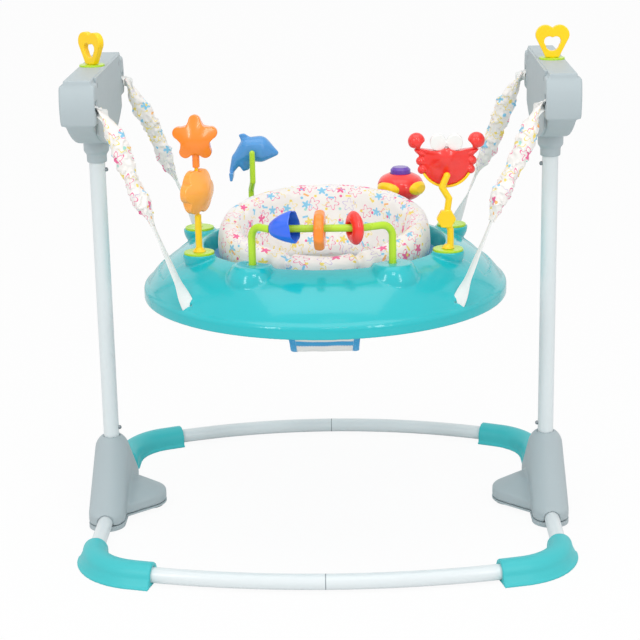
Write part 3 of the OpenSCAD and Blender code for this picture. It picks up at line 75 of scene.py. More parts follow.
# Studio: a white surround, a large softbox overhead, a small key above the camera for the toys' bright spots, and two
# tall strips beside it for the paired upright highlights on the tray's pods. The surround is white to the eye and in
# reflections, and dimmer as light.
class Sock:
    """A shader socket that takes + - * <; sum() adds a Math node and node() any other shader node."""

    def __init__(self, tree, out):
        self.tree, self.out = tree, out

    def node(self, kind, inputs=(), out=0, **settings):
        n = self.tree.nodes.new("ShaderNode" + kind)
        for k, v in settings.items():
            setattr(n, k, v)
        for k, v in dict(inputs).items():
            self.feed(n.inputs[k], v)
        return Sock(self.tree, n.outputs[out])

    def feed(self, socket, value):
        if isinstance(value, Sock):
            self.tree.links.new(value.out, socket)
        else:
            socket.default_value = value

    def sum(self, operation, *others):
        return self.node("Math", enumerate((self, *others)), operation=operation)

    def __add__(self, o): return self.sum("ADD", o)
    def __sub__(self, o): return self.sum("SUBTRACT", o)
    def __mul__(self, o): return self.sum("MULTIPLY", o)
    def __lt__(self, o): return self.sum("LESS_THAN", o)


bpy.context.scene.view_settings.view_transform = "Standard"
world = bpy.data.worlds.new("surround")
bpy.context.scene.world = world
world.use_nodes = True
sky = world.node_tree.nodes["Background"]
sky.inputs["Color"].default_value = (1, 1, 1, 1)
path = world.node_tree.nodes.new("ShaderNodeLightPath")
rays = [Sock(world.node_tree, path.outputs[k]) for k in ("Is Camera Ray", "Is Glossy Ray", "Is Transmission Ray")]
sky_light, sky_seen = 0.78, 1.0
seen = rays[0].sum("MAXIMUM", rays[1]).sum("MAXIMUM", rays[2])
rays[0].feed(sky.inputs["Strength"], seen * (sky_seen - sky_light) + sky_light)
for name, place, aim, size, power in (
        ("overhead", (0.0, -0.4, 2.6), (0, 0, 0.3), (2.2, 1.6), 13),
        ("key", (0.25, -2.0, 2.4), (0, 0, 0.5), (0.5, 0.35), 5),
        ("strip_left", (-1.5, -2.3, 1.7), (0, 0, 0.45), (0.35, 1.5), 13),
        ("strip_right", (1.5, -2.3, 1.7), (0, 0, 0.45), (0.35, 1.5), 11)):
    lamp = bpy.data.lights.new(name, "AREA")
    lamp.shape, lamp.size, lamp.size_y, lamp.energy = "RECTANGLE", *size, power
    holder = bpy.data.objects.new(name, lamp)
    holder.location = place
    holder.rotation_euler = (Vector(aim) - Vector(place)).to_track_quat("-Z", "Y").to_euler()
    bpy.context.collection.objects.link(holder)


# Floor: a plain white sweep without an edge in view. It mostly glows to the camera, so that it meets the surround, and
# keeps the faint shadows under the boots and feet.
def material(name):
    """A new material, its Principled node, and its object coordinate as a Sock."""
    m = bpy.data.materials.new(name)
    m.use_nodes = True
    coord = m.node_tree.nodes.new("ShaderNodeTexCoord")
    return m, m.node_tree.nodes["Principled BSDF"], Sock(m.node_tree, coord.outputs["Object"])


floor_mesh = bpy.data.meshes.new("floor")
far, floor_glow = 30, 0.93
floor_mesh.from_pydata([(x, y, 0) for x, y in ((-far, -far), (far, -far), (far, far), (-far, far))], [], [(0, 1, 2, 3)])
floor = bpy.data.objects.new("floor", floor_mesh)
bpy.context.collection.objects.link(floor)
m, skin, at = material("floor")
skin.inputs["Base Color"].default_value = (0.86, 0.86, 0.86, 1)
skin.inputs["Roughness"].default_value = 0.9
skin.inputs["Specular IOR Level"].default_value = 0
glow = at.node("Emission", {"Color": (1, 1, 1, 1), "Strength": 1.0})
seen = at.node("LightPath", out="Is Camera Ray")
mix = at.node("MixShader", {0: seen * floor_glow, 1: Sock(m.node_tree, skin.outputs[0]), 2: glow})
at.feed(m.node_tree.nodes["Material Output"].inputs["Surface"], mix)
floor_mesh.materials.append(m)


# Base ring: cool white enamelled steel tube in two bent halves, bowed at front and back, with a gentle orange peel.
# The halves meet over plugs at the middle of the front and of the back, where a dark seam shows.
def linear(code):
    """A hex colour as linear RGBA."""
    rgb = [int(code[i:i + 2], 16) / 255 for i in (1, 3, 5)]
    return (*[c / 12.92 if c < 0.04045 else ((c + 0.055) / 1.055) ** 2.4 for c in rgb], 1)


def moulded(name, code, rough, grain=0.0, coat=0.0, fleck=0.03, grain_scale=1400.0):
    """A moulded or coated surface: faint clouds in the colour, uneven gloss and, if asked, a fine grain."""
    m, skin, at = material(name)
    cloud = at.node("TexNoise", {"Vector": at, "Scale": 9.0, "Detail": 3.0}, out="Fac")
    shade = cloud * (2 * fleck) + (1 - fleck)
    at.feed(skin.inputs["Base Color"],
            at.node("MixRGB", {"Fac": 1.0, "Color1": linear(code), "Color2": shade}, blend_type="MULTIPLY"))
    worn = at.node("TexNoise", {"Vector": at, "Scale": 60.0, "Detail": 4.0}, out="Fac")
    at.feed(skin.inputs["Roughness"], worn * (0.3 * rough) + 0.85 * rough)
    skin.inputs["Coat Weight"].default_value = coat
    skin.inputs["Coat Roughness"].default_value = 0.05
    if grain:
        fine = at.node("TexNoise", {"Vector": at, "Scale": grain_scale, "Detail": 2.0}, out="Fac")
        at.feed(skin.inputs["Normal"], at.node("Bump", {"Height": fine, "Strength": grain, "Distance": 0.0002}))
    return m


def dress(piece, skin):
    """The piece takes this finish alone."""
    piece.data.materials.clear()
    piece.data.materials.append(skin)
    return piece


def wear(skin, *names):
    """These CAD nodes keep their shape and take the finish."""
    for name in names:
        dress(node[name], skin)


seam_half = 0.0008
enamel = moulded("enamel", "#DCE4E6", rough=0.34, grain=0.03, coat=0.25, fleck=0.012, grain_scale=500.0)
ring_skin = moulded("ring_enamel", "#DFE6E8", rough=0.34, grain=0.03, coat=0.25, fleck=0.012, grain_scale=500.0)
skin, coord = (ring_skin.node_tree.nodes[k] for k in ("Principled BSDF", "Texture Coordinate"))
at = Sock(ring_skin.node_tree, coord.outputs["Object"])
seam = at.node("SeparateXYZ", {0: at}, out="X").sum("ABSOLUTE") < seam_half
at.feed(skin.inputs["Base Color"], at.node("MixRGB", {
    "Fac": seam, "Color1": Sock(ring_skin.node_tree, skin.inputs["Base Color"].links[0].from_socket),
    "Color2": linear("#8E979B")}))
wear(ring_skin, "base_tube_left", "base_tube_right")


# Boots: soft teal plastic corners with rounded rims and a fine grain, pushed over the four bends of the ring. Each is a
# copy of its solid with the edges rounded, and takes the solid's place.
body_of = {n: body for body, names in record["behaviour"]["bodies"].items() for n in names}


def settle(piece):
    """The piece's modifiers are applied, and it keeps a plain mesh."""
    data = bpy.data.meshes.new_from_object(piece.evaluated_get(bpy.context.evaluated_depsgraph_get()))
    piece.modifiers.clear()
    piece.data = data
    return piece


def stand_for(piece, *names):
    """The piece takes the place and body of these nodes."""
    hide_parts(*names)
    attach(piece, body_of[names[0]])
    return piece


def softened(skin, name, voxel, rounds, before=None):
    """A copy of a CAD node whose edges are rounded as a mould leaves them: merged, remeshed and smoothed."""
    data = node[name].data.copy()
    shape = bmesh.new()
    shape.from_mesh(data)
    bmesh.ops.remove_doubles(shape, verts=shape.verts, dist=1e-5)
    for v in shape.verts if before else ():
        before(v.co)
    shape.to_mesh(data)
    shape.free()
    piece = bpy.data.objects.new(name + "_soft", data)
    bpy.context.collection.objects.link(piece)
    even = piece.modifiers.new("even", "REMESH")
    even.mode, even.voxel_size, even.use_smooth_shade = "VOXEL", voxel, True
    rounded = piece.modifiers.new("rounded", "SMOOTH")
    rounded.factor, rounded.iterations = 0.5, rounds
    return stand_for(dress(settle(piece), skin), name)


boot_skin = moulded("boot_teal", "#3BBEC3", rough=0.42, grain=0.25)
for name in ("boot_front_left", "boot_front_right", "boot_back_left", "boot_back_right"):
    softened(boot_skin, name, voxel=0.0016, rounds=6)

# Hubs: three-cornered mouldings in light grey grained plastic that stand over the side tubes and carry the posts. A
# bottom plate is screwed under each, with a rubber pad; the strap keepers are of the same rubber.
grey = moulded("grey_plastic", "#AEBABE", rough=0.5, grain=0.35)
for name in ("hub_left", "hub_right"):
    softened(grey, name, voxel=0.0022, rounds=12)
wear(grey, "hub_plate_left", "hub_plate_right")
rubber = moulded("rubber", "#2B2D2F", rough=0.8, grain=0.5)
wear(rubber, "rubber_pads", "strap_keepers")

# Posts: enamelled tubes, each a stub in the hub and an upper post spliced to it. The snap buttons, leaf springs,
# spigots, pins and screws that hold them are zinc plated.
wear(enamel, "post_stub_left", "post_stub_right", "post_left", "post_right")
zinc = moulded("zinc", "#8F969B", rough=0.35)
zinc.node_tree.nodes["Principled BSDF"].inputs["Metallic"].default_value = 1.0
wear(zinc, "frame_screws", "head_spigots", "leaf_springs", "low_button_left", "low_button_right",
     "high_button_left", "high_button_right", "anchor_pins")

# Heads: long yokes of the grey plastic with a rounded nose at each end, a collar over the post and a screwed inner
# cover. The straps hang from pins behind the covers.
for name in ("head_left", "head_right"):
    softened(grey, name, voxel=0.0020, rounds=9)
wear(grey, "head_cover_left", "head_cover_right")

# Hearts: yellow plastic loops with full rounded edges that turn in lime plates. The plates are let into the tops of the
# heads.
yellow = moulded("yellow", "#FFD200", rough=0.3, coat=0.1)
lime = moulded("lime", "#B4DC24", rough=0.28, coat=0.15)
for name in ("heart_left", "heart_right"):
    softened(yellow, name, voxel=0.0009, rounds=6)
softened(lime, "heart_plates", voxel=0.0008, rounds=4)

# Tray: a glossy teal shell, one moulding with its crowned deck, rim, well and sockets, left bare of any mark. It is a
# rounded copy of the solid whose six capped pods are drawn in to bowls that narrow towards the deck.
tray_skin = moulded("tray_teal", "#18B8BF", rough=0.2, coat=0.4)
tray_skin.node_tree.nodes["Principled BSDF"].inputs["Specular IOR Level"].default_value = 0.4
deck_in, deck_out, deck_crown = (0.206, 0.478), (0.303, 0.413), 0.012
deck_l = math.dist(deck_in, deck_out)
deck_bow = (deck_l * deck_l / 4 + deck_crown * deck_crown) / (2 * deck_crown)
deck_r, deck_z = ((deck_in[k] + deck_out[k]) / 2 - (deck_bow - deck_crown) * (deck_in[1 - k] - deck_out[1 - k])
                  * (1 - 2 * k) / deck_l for k in (0, 1))
deck_t, deck_skim, deck_back = (0.003, 0.009), 0.0012, 0.0030
recess_turn, recess_ramp, recess_r, recess_soft = 26, 4, (0.215, 0.294), 0.010
well_r, well_soft, tray_edge = 0.207, 0.009, 0.300
pod_r, pod_deep, pod_reach, pod_wall, pod_core, pod_low, pod_tip = 0.028, 0.031, 0.050, 0.0030, 0.020, 0.004, 0.2
pods = [Vector((side * x, y, z)) for side in (-1, 1)
        for x, y, z in ((0.2049, -0.09995, 0.482), (0.2211, 0.0984, 0.479), (0.1348, 0.1998, 0.479))]


def ease_in(v):
    """0 to 1 with level ends."""
    v = min(1, max(0, v))
    return v * v * (3 - 2 * v)


def deck(r):
    """Height of the deck as moulded at a radius."""
    return deck_z + math.sqrt(deck_bow ** 2 - (r - deck_r) ** 2)


def bowl(h):
    """Radius of a pod's wall at a depth below its top."""
    return pod_r * math.sqrt(max(pod_tip, 1 - (h / pod_deep) ** 2))


def backed(p):
    """Gives the deck a thicker back under its two shallow side recesses, so that the remesh leaves no holes."""
    r, a = p.xy.length, math.degrees(math.atan2(p.y, abs(p.x)))
    if deck_in[0] < r < deck_out[0] - 0.001 and deck_t[0] < deck(r) - p.z < deck_t[1]:
        under = ease_in((r - recess_r[0]) / recess_soft) * ease_in((recess_r[1] - r) / recess_soft)
        p.z -= deck_back * ease_in((recess_turn - abs(a)) / recess_ramp) * under


tray = softened(tray_skin, "tray", voxel=0.0022, rounds=3, before=backed)
for v in tray.data.vertices:
    pod = min(pods, key=lambda q: (q.xy - v.co.xy).length)
    away = v.co.xy - pod.xy
    d, r = away.length, v.co.xy.length
    if not pod_core < d < pod_reach or r > tray_edge:
        continue
    away /= d
    over, was, share = v.co.z - deck(r), v.co.copy(), ease_in((r - well_r) / well_soft)
    if over < -deck_t[0]:
        continue
    foot = pod_r
    for step in range(12):
        r_foot = (pod.xy + foot * away).length
        foot = 0.5 * (foot + bowl(pod.z - deck(r_foot)))
    r_foot, r_was = (pod.xy + foot * away).length, (pod.xy + pod_r * away).length
    if d > pod_r + deck_skim or over < deck_skim:
        d = foot + (max(d, pod_r) - pod_r) * (pod_reach - foot) / (pod_reach - pod_r)
        r_now = (pod.xy + d * away).length
        v.co.z += deck(r_now) - deck(r)
    elif d > pod_r - pod_wall:
        deep = (pod.z - v.co.z) * (pod.z - deck(r_foot)) / max(pod_low, pod.z - deck(r_was))
        d += bowl(max(0, deep)) - pod_r
        v.co.z = pod.z - deep
    v.co.x, v.co.y = pod.xy + d * away
    v.co = was.lerp(v.co, share)
fewer = tray.modifiers.new("fewer", "DECIMATE")
fewer.ratio = 0.45
settle(tray)


# Straps: four polyester webbings from the heads down to the tray, edge on at the head and turned flat at the tray. Each
# is a short tab above its spring and a longer strap below it, which ends in a keeper under the deck.
strap_low, strap_high = Vector((0.2172, -0.2026, 0.4217)), Vector((0.3465, -0.166, 0.739))
strap_w, strap_t, keeper_drop, spring_inset, spring_l = 0.022, 0.0018, 0.016, 0.046, 0.122
tab_in, tab_bend, strap_lap, hug_near, hug_fade = 0.020, 0.006, 0.003, 0.0048, 0.02


def woven(name, code, pitch, rough=0.85, print_on=None):
    """Woven cloth on the piece's flat map: crossed threads in relief, a thread-wise fleck and, if given, a print."""
    m, skin, at = material(name)
    flat = at.node("UVMap", uv_map="flat", out="UV")
    wide, long = (flat.node("SeparateXYZ", {0: flat}, out=k) for k in "XY")
    turn = 2 * math.pi / pitch
    weave = (wide * turn).sum("SINE") * (long * turn).sum("SINE")
    fleck = flat.node("TexNoise", {"Vector": flat, "Scale": 700.0, "Detail": 2.0}, out="Fac")
    base = flat.node("MixRGB", {"Fac": 1.0, "Color1": linear(code), "Color2": fleck * 0.10 + 0.95},
                     blend_type="MULTIPLY")
    at.feed(skin.inputs["Base Color"], print_on(flat, base) if print_on else base)
    at.feed(skin.inputs["Normal"], flat.node("Bump", {"Height": weave, "Strength": 0.25, "Distance": pitch / 6}))
    at.feed(skin.inputs["Roughness"], fleck * 0.1 + rough)
    skin.inputs["Sheen Weight"].default_value = 0.15
    skin.inputs["Specular IOR Level"].default_value = 0.25
    return m


def loft(name, rings, skin, flat, loop=False, shut=False):
    """A skin over rings of points, with the cloth's flat width and length on its map; shut closes both ends."""
    n, m = len(rings), len(rings[0])
    faces, marks = [], []
    for i in range(n if loop else n - 1):
        for j in range(m):
            k, l = (i + 1) % n, (j + 1) % m
            faces.append((i * m + j, i * m + l, k * m + l, k * m + j))
            marks += [(j, i), (j + 1, i), (j + 1, i + 1), (j, i + 1)]
    if shut:
        for end in (0, n - 1):
            faces.append(tuple(end * m + j for j in range(m)))
            marks += [(j, end) for j in range(m)]
    data = bpy.data.meshes.new(name)
    data.from_pydata([p for ring in rings for p in ring], [], faces)
    chart = data.uv_layers.new(name="flat")
    for corner, (j, i) in zip(chart.data, marks):
        corner.uv = (flat[0] * j / m, flat[1] * i / n)
    shape = bmesh.new()
    shape.from_mesh(data)
    bmesh.ops.recalc_face_normals(shape, faces=shape.faces)
    shape.to_mesh(data)
    shape.free()
    data.shade_smooth()
    data.materials.append(skin)
    piece = bpy.data.objects.new(name, data)
    bpy.context.collection.objects.link(piece)
    return piece


def ribbon(name, points, across, skin, w, t):
    """A flat strap with rounded edges along points; across gives its width direction at each."""
    corner = ((-0.5, 0), (-0.46, -0.5), (0, -0.5), (0.46, -0.5), (0.5, 0), (0.46, 0.5), (0, 0.5), (-0.46, 0.5))
    rings = []
    for i, p in enumerate(points):
        along = (points[min(i + 1, len(points) - 1)] - points[max(i - 1, 0)]).normalized()
        side = (across[i] - across[i].dot(along) * along).normalized()
        out = along.cross(side)
        rings.append([p + side * (u * w) + out * (v * t) for u, v in corner])
    length = sum((b - a).length for a, b in zip(points, points[1:]))
    return loft(name, rings, skin, (2 * (w + t), length), shut=True)


corners = [(name, Vector((x, y, 1))) for name, x, y in
           (("front_left", -1, 1), ("front_right", 1, 1), ("back_left", -1, -1), ("back_right", 1, -1))]
webbing = woven("webbing", "#EDEEEC", pitch=0.0016)
strap_l = (strap_high - strap_low).length
down = (strap_low - strap_high) / strap_l
spring_top, spring_bottom = spring_inset, spring_inset + spring_l
head_turn, tray_turn = math.radians(90), math.radians(90 - 68)
level = Vector((-down.y, down.x, 0)).normalized()


def hug(run):
    """How far the strap lies towards the head's face at a run below the head."""
    return hug_near * math.exp(-run / hug_fade)


def strap_side(turn):
    """Width direction of the webbing at a turn about the strap, 90 degrees being level and front to back."""
    lean = level.cross(down)
    return level * math.sin(turn) + lean * math.cos(turn)


for corner, flip in corners:
    upper, sides = [], []
    for i in range(25):
        s = i / 24
        run = -tab_in + s * (spring_top + tab_in - strap_lap)
        bend = 0.5 * (run + math.sqrt(run * run + tab_bend ** 2))
        back = bend - run
        upper.append(strap_high + Vector((back + hug(bend), 0, 0)) + down * bend)
        sides.append(Vector((0, 1, 0)).lerp(strap_side(head_turn), s))
    tab = ribbon("strap_tab_" + corner, [p * flip for p in upper], [p * flip for p in sides], webbing,
                 strap_w, strap_t)
    lower, sides = [], []
    below = spring_bottom + strap_lap
    start, stop = (0.68, 0.97) if flip.y > 0 else (0.25, 0.90)
    for i in range(41):
        s = i / 40
        lower.append(strap_high + down * (below + s * (strap_l + keeper_drop - below)))
        twist = 0.35 * math.sin(s * 5.2) * (1 - s)
        sides.append(strap_side(head_turn + (tray_turn - head_turn) * ease_in((s - start) / (stop - start)) + twist))
    strap = ribbon("lower_strap_" + corner, [p * flip for p in lower], [p * flip for p in sides], webbing,
                   strap_w, strap_t)
    for piece, stands in ((tab, "strap_tabs"), (strap, "lower_straps")):
        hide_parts(stands)
        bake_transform(piece)


# Springs: four steel coils inside the sleeves with a plastic plug at each end, which carry the tray. Plain copies of
# the solids take their place.
def shown(skin, name):
    """A plain copy of a CAD node in a finish."""
    piece = bpy.data.objects.new(name + "_shown", node[name].data.copy())
    bpy.context.collection.objects.link(piece)
    return dress(piece, skin)


for skin, name in ((zinc, "coil_springs"), (grey, "spring_plugs")):
    piece = shown(skin, name)
    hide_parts(name)
    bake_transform(piece)


# Sleeves: tubes of the printed cloth gathered over the springs. Each is pinched at both ends, bunched in two lobes
# between them, and crossed by folds and tucks from noise.
def starred(flat, base):
    """A sprinkled print: outlined and filled stars, dots, and short wavy lines in pastel colours."""
    pink, sun, sky, peach, mint, lilac = "#EE6F9E", "#F1DB70", "#8CCDEB", "#F6B973", "#A6DDD0", "#CFC0DE"

    def sprinkle(base, cell, seed, share, colours, mask):
        """One motif on a grid of cells, at a random place, turn and colour in this share of them."""
        spot = flat.node("VectorMath", {0: flat, 1: (1 / cell,) * 3, 2: (seed * 3.7, seed * 1.9, 0)},
                         operation="MULTIPLY_ADD")
        home = flat.node("VectorMath", {0: spot}, operation="FLOOR")
        luck = flat.node("TexWhiteNoise", {"Vector": home, "W": seed * 1.3}, out="Color", noise_dimensions="4D")
        pick = [flat.node("SeparateColor", {0: luck}, out=k) for k in range(3)]
        more = flat.node("TexWhiteNoise", {"Vector": home, "W": seed * 1.3 + 0.5}, out="Value", noise_dimensions="4D")
        inner = flat.node("VectorMath", {0: spot, 1: home}, operation="SUBTRACT")
        room = flat.node("VectorMath", {0: luck, 1: (0.30, 0.30, 0), 2: (0.35, 0.35, 0)}, operation="MULTIPLY_ADD")
        off = flat.node("VectorMath", {0: inner, 1: room}, operation="SUBTRACT")
        off = flat.node("VectorRotate", {"Vector": off, "Angle": pick[2] * math.tau}, rotation_type="Z_AXIS")
        x, y = (flat.node("SeparateXYZ", {0: off}, out=k) * cell for k in "XY")
        ramp = flat.tree.nodes.new("ShaderNodeValToRGB")
        ramp.color_ramp.interpolation = "CONSTANT"
        for i, code in enumerate(colours):
            stop = ramp.color_ramp.elements[i] if i < 2 else ramp.color_ramp.elements.new(i / len(colours))
            stop.position, stop.color = i / len(colours), linear(code)
        flat.feed(ramp.inputs["Fac"], more)
        there = pick[2].sum("FRACT") < share
        return flat.node("MixRGB", {"Fac": mask(x, y) * there, "Color1": base,
                                    "Color2": Sock(flat.tree, ramp.outputs["Color"])})

    def star_gap(x, y, r):
        """Distance outside a five-pointed star of this radius."""
        far = (x * x + y * y).sum("SQRT")
        return far - (y.sum("ARCTAN2", x) * 5).sum("COSINE") * (0.27 * r) - 0.73 * r

    for args in (
            (0.040, 1, 0.95, (sun, pink, sun, lilac, pink),
             lambda x, y: star_gap(x, y, 0.0140).sum("ABSOLUTE") < 0.0009),
            (0.037, 2, 0.52, (sky, pink, sky, pink, sun), lambda x, y: star_gap(x, y, 0.0095) < 0.0),
            (0.024, 3, 0.60, (sun, peach, sky, pink, sun, mint), lambda x, y: (x * x + y * y) < 0.0029 ** 2),
            (0.030, 4, 0.70, (lilac, sun, sky, pink, sun),
             lambda x, y: ((y - (x * 520).sum("SINE") * 0.0018).sum("ABSOLUTE") < 0.0007)
             * (x.sum("ABSOLUTE") < 0.0085)),
            (0.044, 5, 0.60, (sky, sun, peach),
             lambda x, y: (x.sum("ABSOLUTE") < 0.0060) * (y.sum("ABSOLUTE") < 0.0019))):
        base = sprinkle(base, *args)
    return base


printed = woven("printed_cloth", "#F1EEEA", pitch=0.0012, print_on=starred)
sleeve_start, sleeve_over, sleeve_t = 0.004, 0.038, 0.0009
sleeve_l = spring_bottom + sleeve_over - sleeve_start
sleeve_halves = ((0.0022, 0.0078, 0.0052), (0.0085, 0.0065, 0.0045))  # through and across: pinched, full, at a lobe
pinch_top, pinch_bottom, sway, slide, fold_deep, tuck_deep, fold_in = 0.22, 0.17, 0.0025, 0.003, 0.0032, 0.0018, 0.0014
for place, (corner, flip) in enumerate(corners):
    skins = []
    for inset in (0, sleeve_t):
        rings = []
        for i in range(111):
            s = i / 110
            full = ease_in(s / pinch_top) * ease_in((1 - s) / pinch_bottom)
            lobe = math.exp(-((s - 0.36) / 0.20) ** 2) + 0.7 * math.exp(-((s - 0.78 + 0.03 * place) / 0.09) ** 2)
            half_t, half_w = (least + full * (more + most * lobe) for least, more, most in sleeve_halves)
            side = strap_side(head_turn + 0.30 * math.sin(3 * s + place))
            out = down.cross(side)
            run = sleeve_start + sleeve_l * s
            along = strap_high + Vector((hug(run), 0, 0)) + down * run
            along += out * (sway * full * math.sin(7 * s + 2 * place))
            ring = []
            for j in range(48):
                b = 2 * math.pi * j / 48
                spot = Vector((2.2 * math.cos(b), 2.2 * math.sin(b), 26 * s + 40 * place))
                fold = noise.noise(spot) + 0.5 * noise.noise(spot * 2.1)
                tuck = math.sin(2 * b + 9 * s + place) * math.sin(34 * s + 2.5 * fold)
                deep = max(-fold_in, full * (fold_deep * fold + tuck_deep * tuck))
                ring.append(along + side * ((half_w + deep - inset) * math.sin(b))
                            + out * ((half_t + deep - inset) * math.cos(b)) + down * (slide * full * fold))
            rings.append([p * flip for p in ring])
        skins.append(rings)
    sleeve = loft("sleeve_" + corner, skins[0] + skins[1][::-1], printed, (0.092, 2 * 0.250), loop=True)
    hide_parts("strap_sleeves")
    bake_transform(sleeve)

# Seat ring: a blue plastic ring that carries the pad and the sling. It turns on the ledge of the tray's well, held
# from below by a retainer screwed to it.
ring_blue = moulded("ring_blue", "#3A8FCB", rough=0.4, coat=0.2)
wear(ring_blue, "seat_ring", "seat_retainer")

# Sling: white cloth, printed on the inside, that hangs from the ring to carry the baby. It is bound in blue along both
# edges and taped across its front, and stitched through both.
ring_top, sling_r, sling_bottom = 0.4523, 0.1677, 0.306
sling_w, sling_front_w, sling_back_w, sling_t = 0.112, 0.210, 0.250, 0.0024
sling_front_flat, sling_back_flat, sling_sag = 0.098, 0.060, 0.0018


def sling_spot(s, u, lift=0.0):
    """A point of the sling: s from the front edge to the back edge, u across it from -1 to 1, lift inwards."""
    end = abs(2 * s - 1)
    t = 2 * s if s < 0.5 else 2 - 2 * s
    flat = sling_front_flat if s < 0.5 else sling_back_flat
    reach = sling_r - (sling_r - flat) * t ** 1.5 - flat * t ** 6
    w = sling_w + end ** 7 * ((sling_front_w if s < 0.5 else sling_back_w) - sling_w)
    x = u * w / 2
    bend = end * (sling_r - math.sqrt(sling_r * sling_r - x * x))
    toward = 1 if s < 0.5 else -1
    low = ring_top - (ring_top - sling_bottom) * math.sqrt(max(0, math.sin(math.pi * s)))
    sag = sling_sag * noise.noise(Vector((7 * s, 2.2 * u, 3))) * (1 - end ** 6)
    return Vector((x, toward * (-reach + bend + (lift + sag) * end ** 3), low + (lift + sag) * (1 - end ** 3)))


def sewn(name, points, skin, pitch, stitch, thread):
    """Stitches along a path: a Geometry Nodes tree sets a short thread at each pitch, and the result is made plain."""
    tree = bpy.data.node_groups.get("stitches")
    if not tree:
        tree = bpy.data.node_groups.new("stitches", "GeometryNodeTree")
        for label, kind in (("Geometry", "Geometry"), ("Pitch", "Float"), ("Stitch", "Vector"), ("Uneven", "Float"),
                            ("Seed", "Int"), ("Thread", "Material")):
            tree.interface.new_socket(label, in_out="INPUT", socket_type="NodeSocket" + kind)
        tree.interface.new_socket("Geometry", in_out="OUTPUT", socket_type="NodeSocketGeometry")
        given, curve, spots, ball, vary, size, set_, real, dye, end = (tree.nodes.new(kind) for kind in (
            "NodeGroupInput", "GeometryNodeMeshToCurve", "GeometryNodeCurveToPoints", "GeometryNodeMeshUVSphere",
            "FunctionNodeRandomValue", "ShaderNodeVectorMath", "GeometryNodeInstanceOnPoints",
            "GeometryNodeRealizeInstances", "GeometryNodeSetMaterial", "NodeGroupOutput"))
        spots.mode, size.operation = "LENGTH", "SCALE"
        ball.inputs["Segments"].default_value, ball.inputs["Rings"].default_value = 8, 6
        ball.inputs["Radius"].default_value = 0.5
        for a, out, b, into in (
                (given, "Geometry", curve, "Mesh"), (curve, "Curve", spots, "Curve"), (given, "Pitch", spots, "Length"),
                (spots, "Points", set_, "Points"), (spots, "Rotation", set_, "Rotation"),
                (ball, "Mesh", set_, "Instance"), (given, "Uneven", vary, 2), (given, "Seed", vary, "Seed"),
                (given, "Stitch", size, 0), (vary, 1, size, "Scale"), (size, 0, set_, "Scale"),
                (set_, "Instances", real, "Geometry"), (real, "Geometry", dye, "Geometry"),
                (given, "Thread", dye, "Material"), (dye, "Geometry", end, "Geometry")):
            tree.links.new(a.outputs[out], b.inputs[into])
        vary.inputs[3].default_value = 1.0
    data = bpy.data.meshes.new(name)
    data.from_pydata(points, [(i, i + 1) for i in range(len(points) - 1)], [])
    piece = bpy.data.objects.new(name, data)
    bpy.context.collection.objects.link(piece)
    row = piece.modifiers.new("stitches", "NODES")
    row.node_group = tree
    values = {"Pitch": pitch, "Stitch": (thread, thread, stitch), "Uneven": 0.85, "Seed": 3, "Thread": skin}
    for item in tree.interface.items_tree:
        if item.in_out == "INPUT" and item.name in values:
            row[item.identifier] = values[item.name]
    return settle(piece)


plain = woven("plain_cloth", "#EFEDEA", pitch=0.0012)
thread = moulded("thread", "#8FC3E6", rough=0.7)
bound = woven("blue_binding", "#46A4D8", pitch=0.0010)
rings, across = [], 25
for i in range(81):
    s = i / 80
    outer = [sling_spot(s, j / 12 - 1) for j in range(across)]
    rings.append(outer + [sling_spot(s, 1 - j / 12, sling_t) for j in range(across)])
sling = loft("sling", rings, plain, (2 * 0.170, 0.50), shut=True)
sling.data.materials.append(printed)
for i, face in enumerate(sling.data.polygons):
    face.material_index = int(i % (2 * across) >= across)


def sling_width(s):
    """Width of the sling at s."""
    return (sling_spot(s, 1) - sling_spot(s, -1)).length


bind_half, bind_t, bind_over, hem = 0.0058, 0.0022, 0.0010, 0.02
edges = []
for name, u in (("left", -1), ("right", 1)):
    rings = []
    for i in range(81):
        s = hem + (1 - 2 * hem) * i / 80
        ring, w = [], sling_width(s)
        for k in range(12):
            b = 2 * math.pi * k / 12
            inset, lift = bind_half * (1 + math.cos(b)), bind_t * math.sin(b)
            ring.append(sling_spot(s, u * (1 - 2 * (inset - bind_over) / w), sling_t / 2 + lift))
        rings.append(ring)
    edges.append(loft("sling_binding_" + name, rings, bound, (0.025, 0.50), shut=True))
tape_at, tape_half, tape_t = 0.2135, 0.0235, 0.0020
rings = []
for j in range(41):
    u = 0.97 * (j / 20 - 1)
    rings.append([sling_spot(tape_at + tape_half * math.cos(b), u, sling_t / 2 + tape_t * math.sin(b))
                  for b in (2 * math.pi * k / 12 for k in range(12))])
edges.append(loft("sling_tape", rings, bound, (0.025, 0.112), shut=True))
rows = []
for side in (-1, 1):
    rows.append([sling_spot(tape_at + side * tape_half * 0.8, 0.9 * (j / 20 - 1), -0.0004) for j in range(41)])
for side in (-1, 1):
    stations = [hem + (1 - 2 * hem) * i / 80 for i in range(81)]
    rows.append([sling_spot(s, side * (1 - 0.019 / sling_width(s)), -0.0006) for s in stations])
for i, points in enumerate(rows):
    edges.append(sewn("sling_stitches_%d" % (i + 1), points, thread, pitch=0.0046, stitch=0.0034, thread=0.0011))
stand_for(sling, "seat_sling")
for piece in edges:
    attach(piece, "seat")

# Pad: a foam ring in the printed cloth, low at the front and high behind the baby's back, with a skirt inside the seat
# ring. A lofted bowl swells as cloth under pressure, and is then creased at two front seams and softly dented.
pad_r, pad_half, pad_z, pad_front, pad_back = 0.160, 0.024, 0.4537, 0.040, 0.097
pad_skirt, ring_in, shy, swell_most, crease_core = 0.040, 0.1640, 0.0035, 0.0055, 0.012
crease_at, crease_wide, crease_deep = math.radians(20.5), math.radians(2.3), 0.009


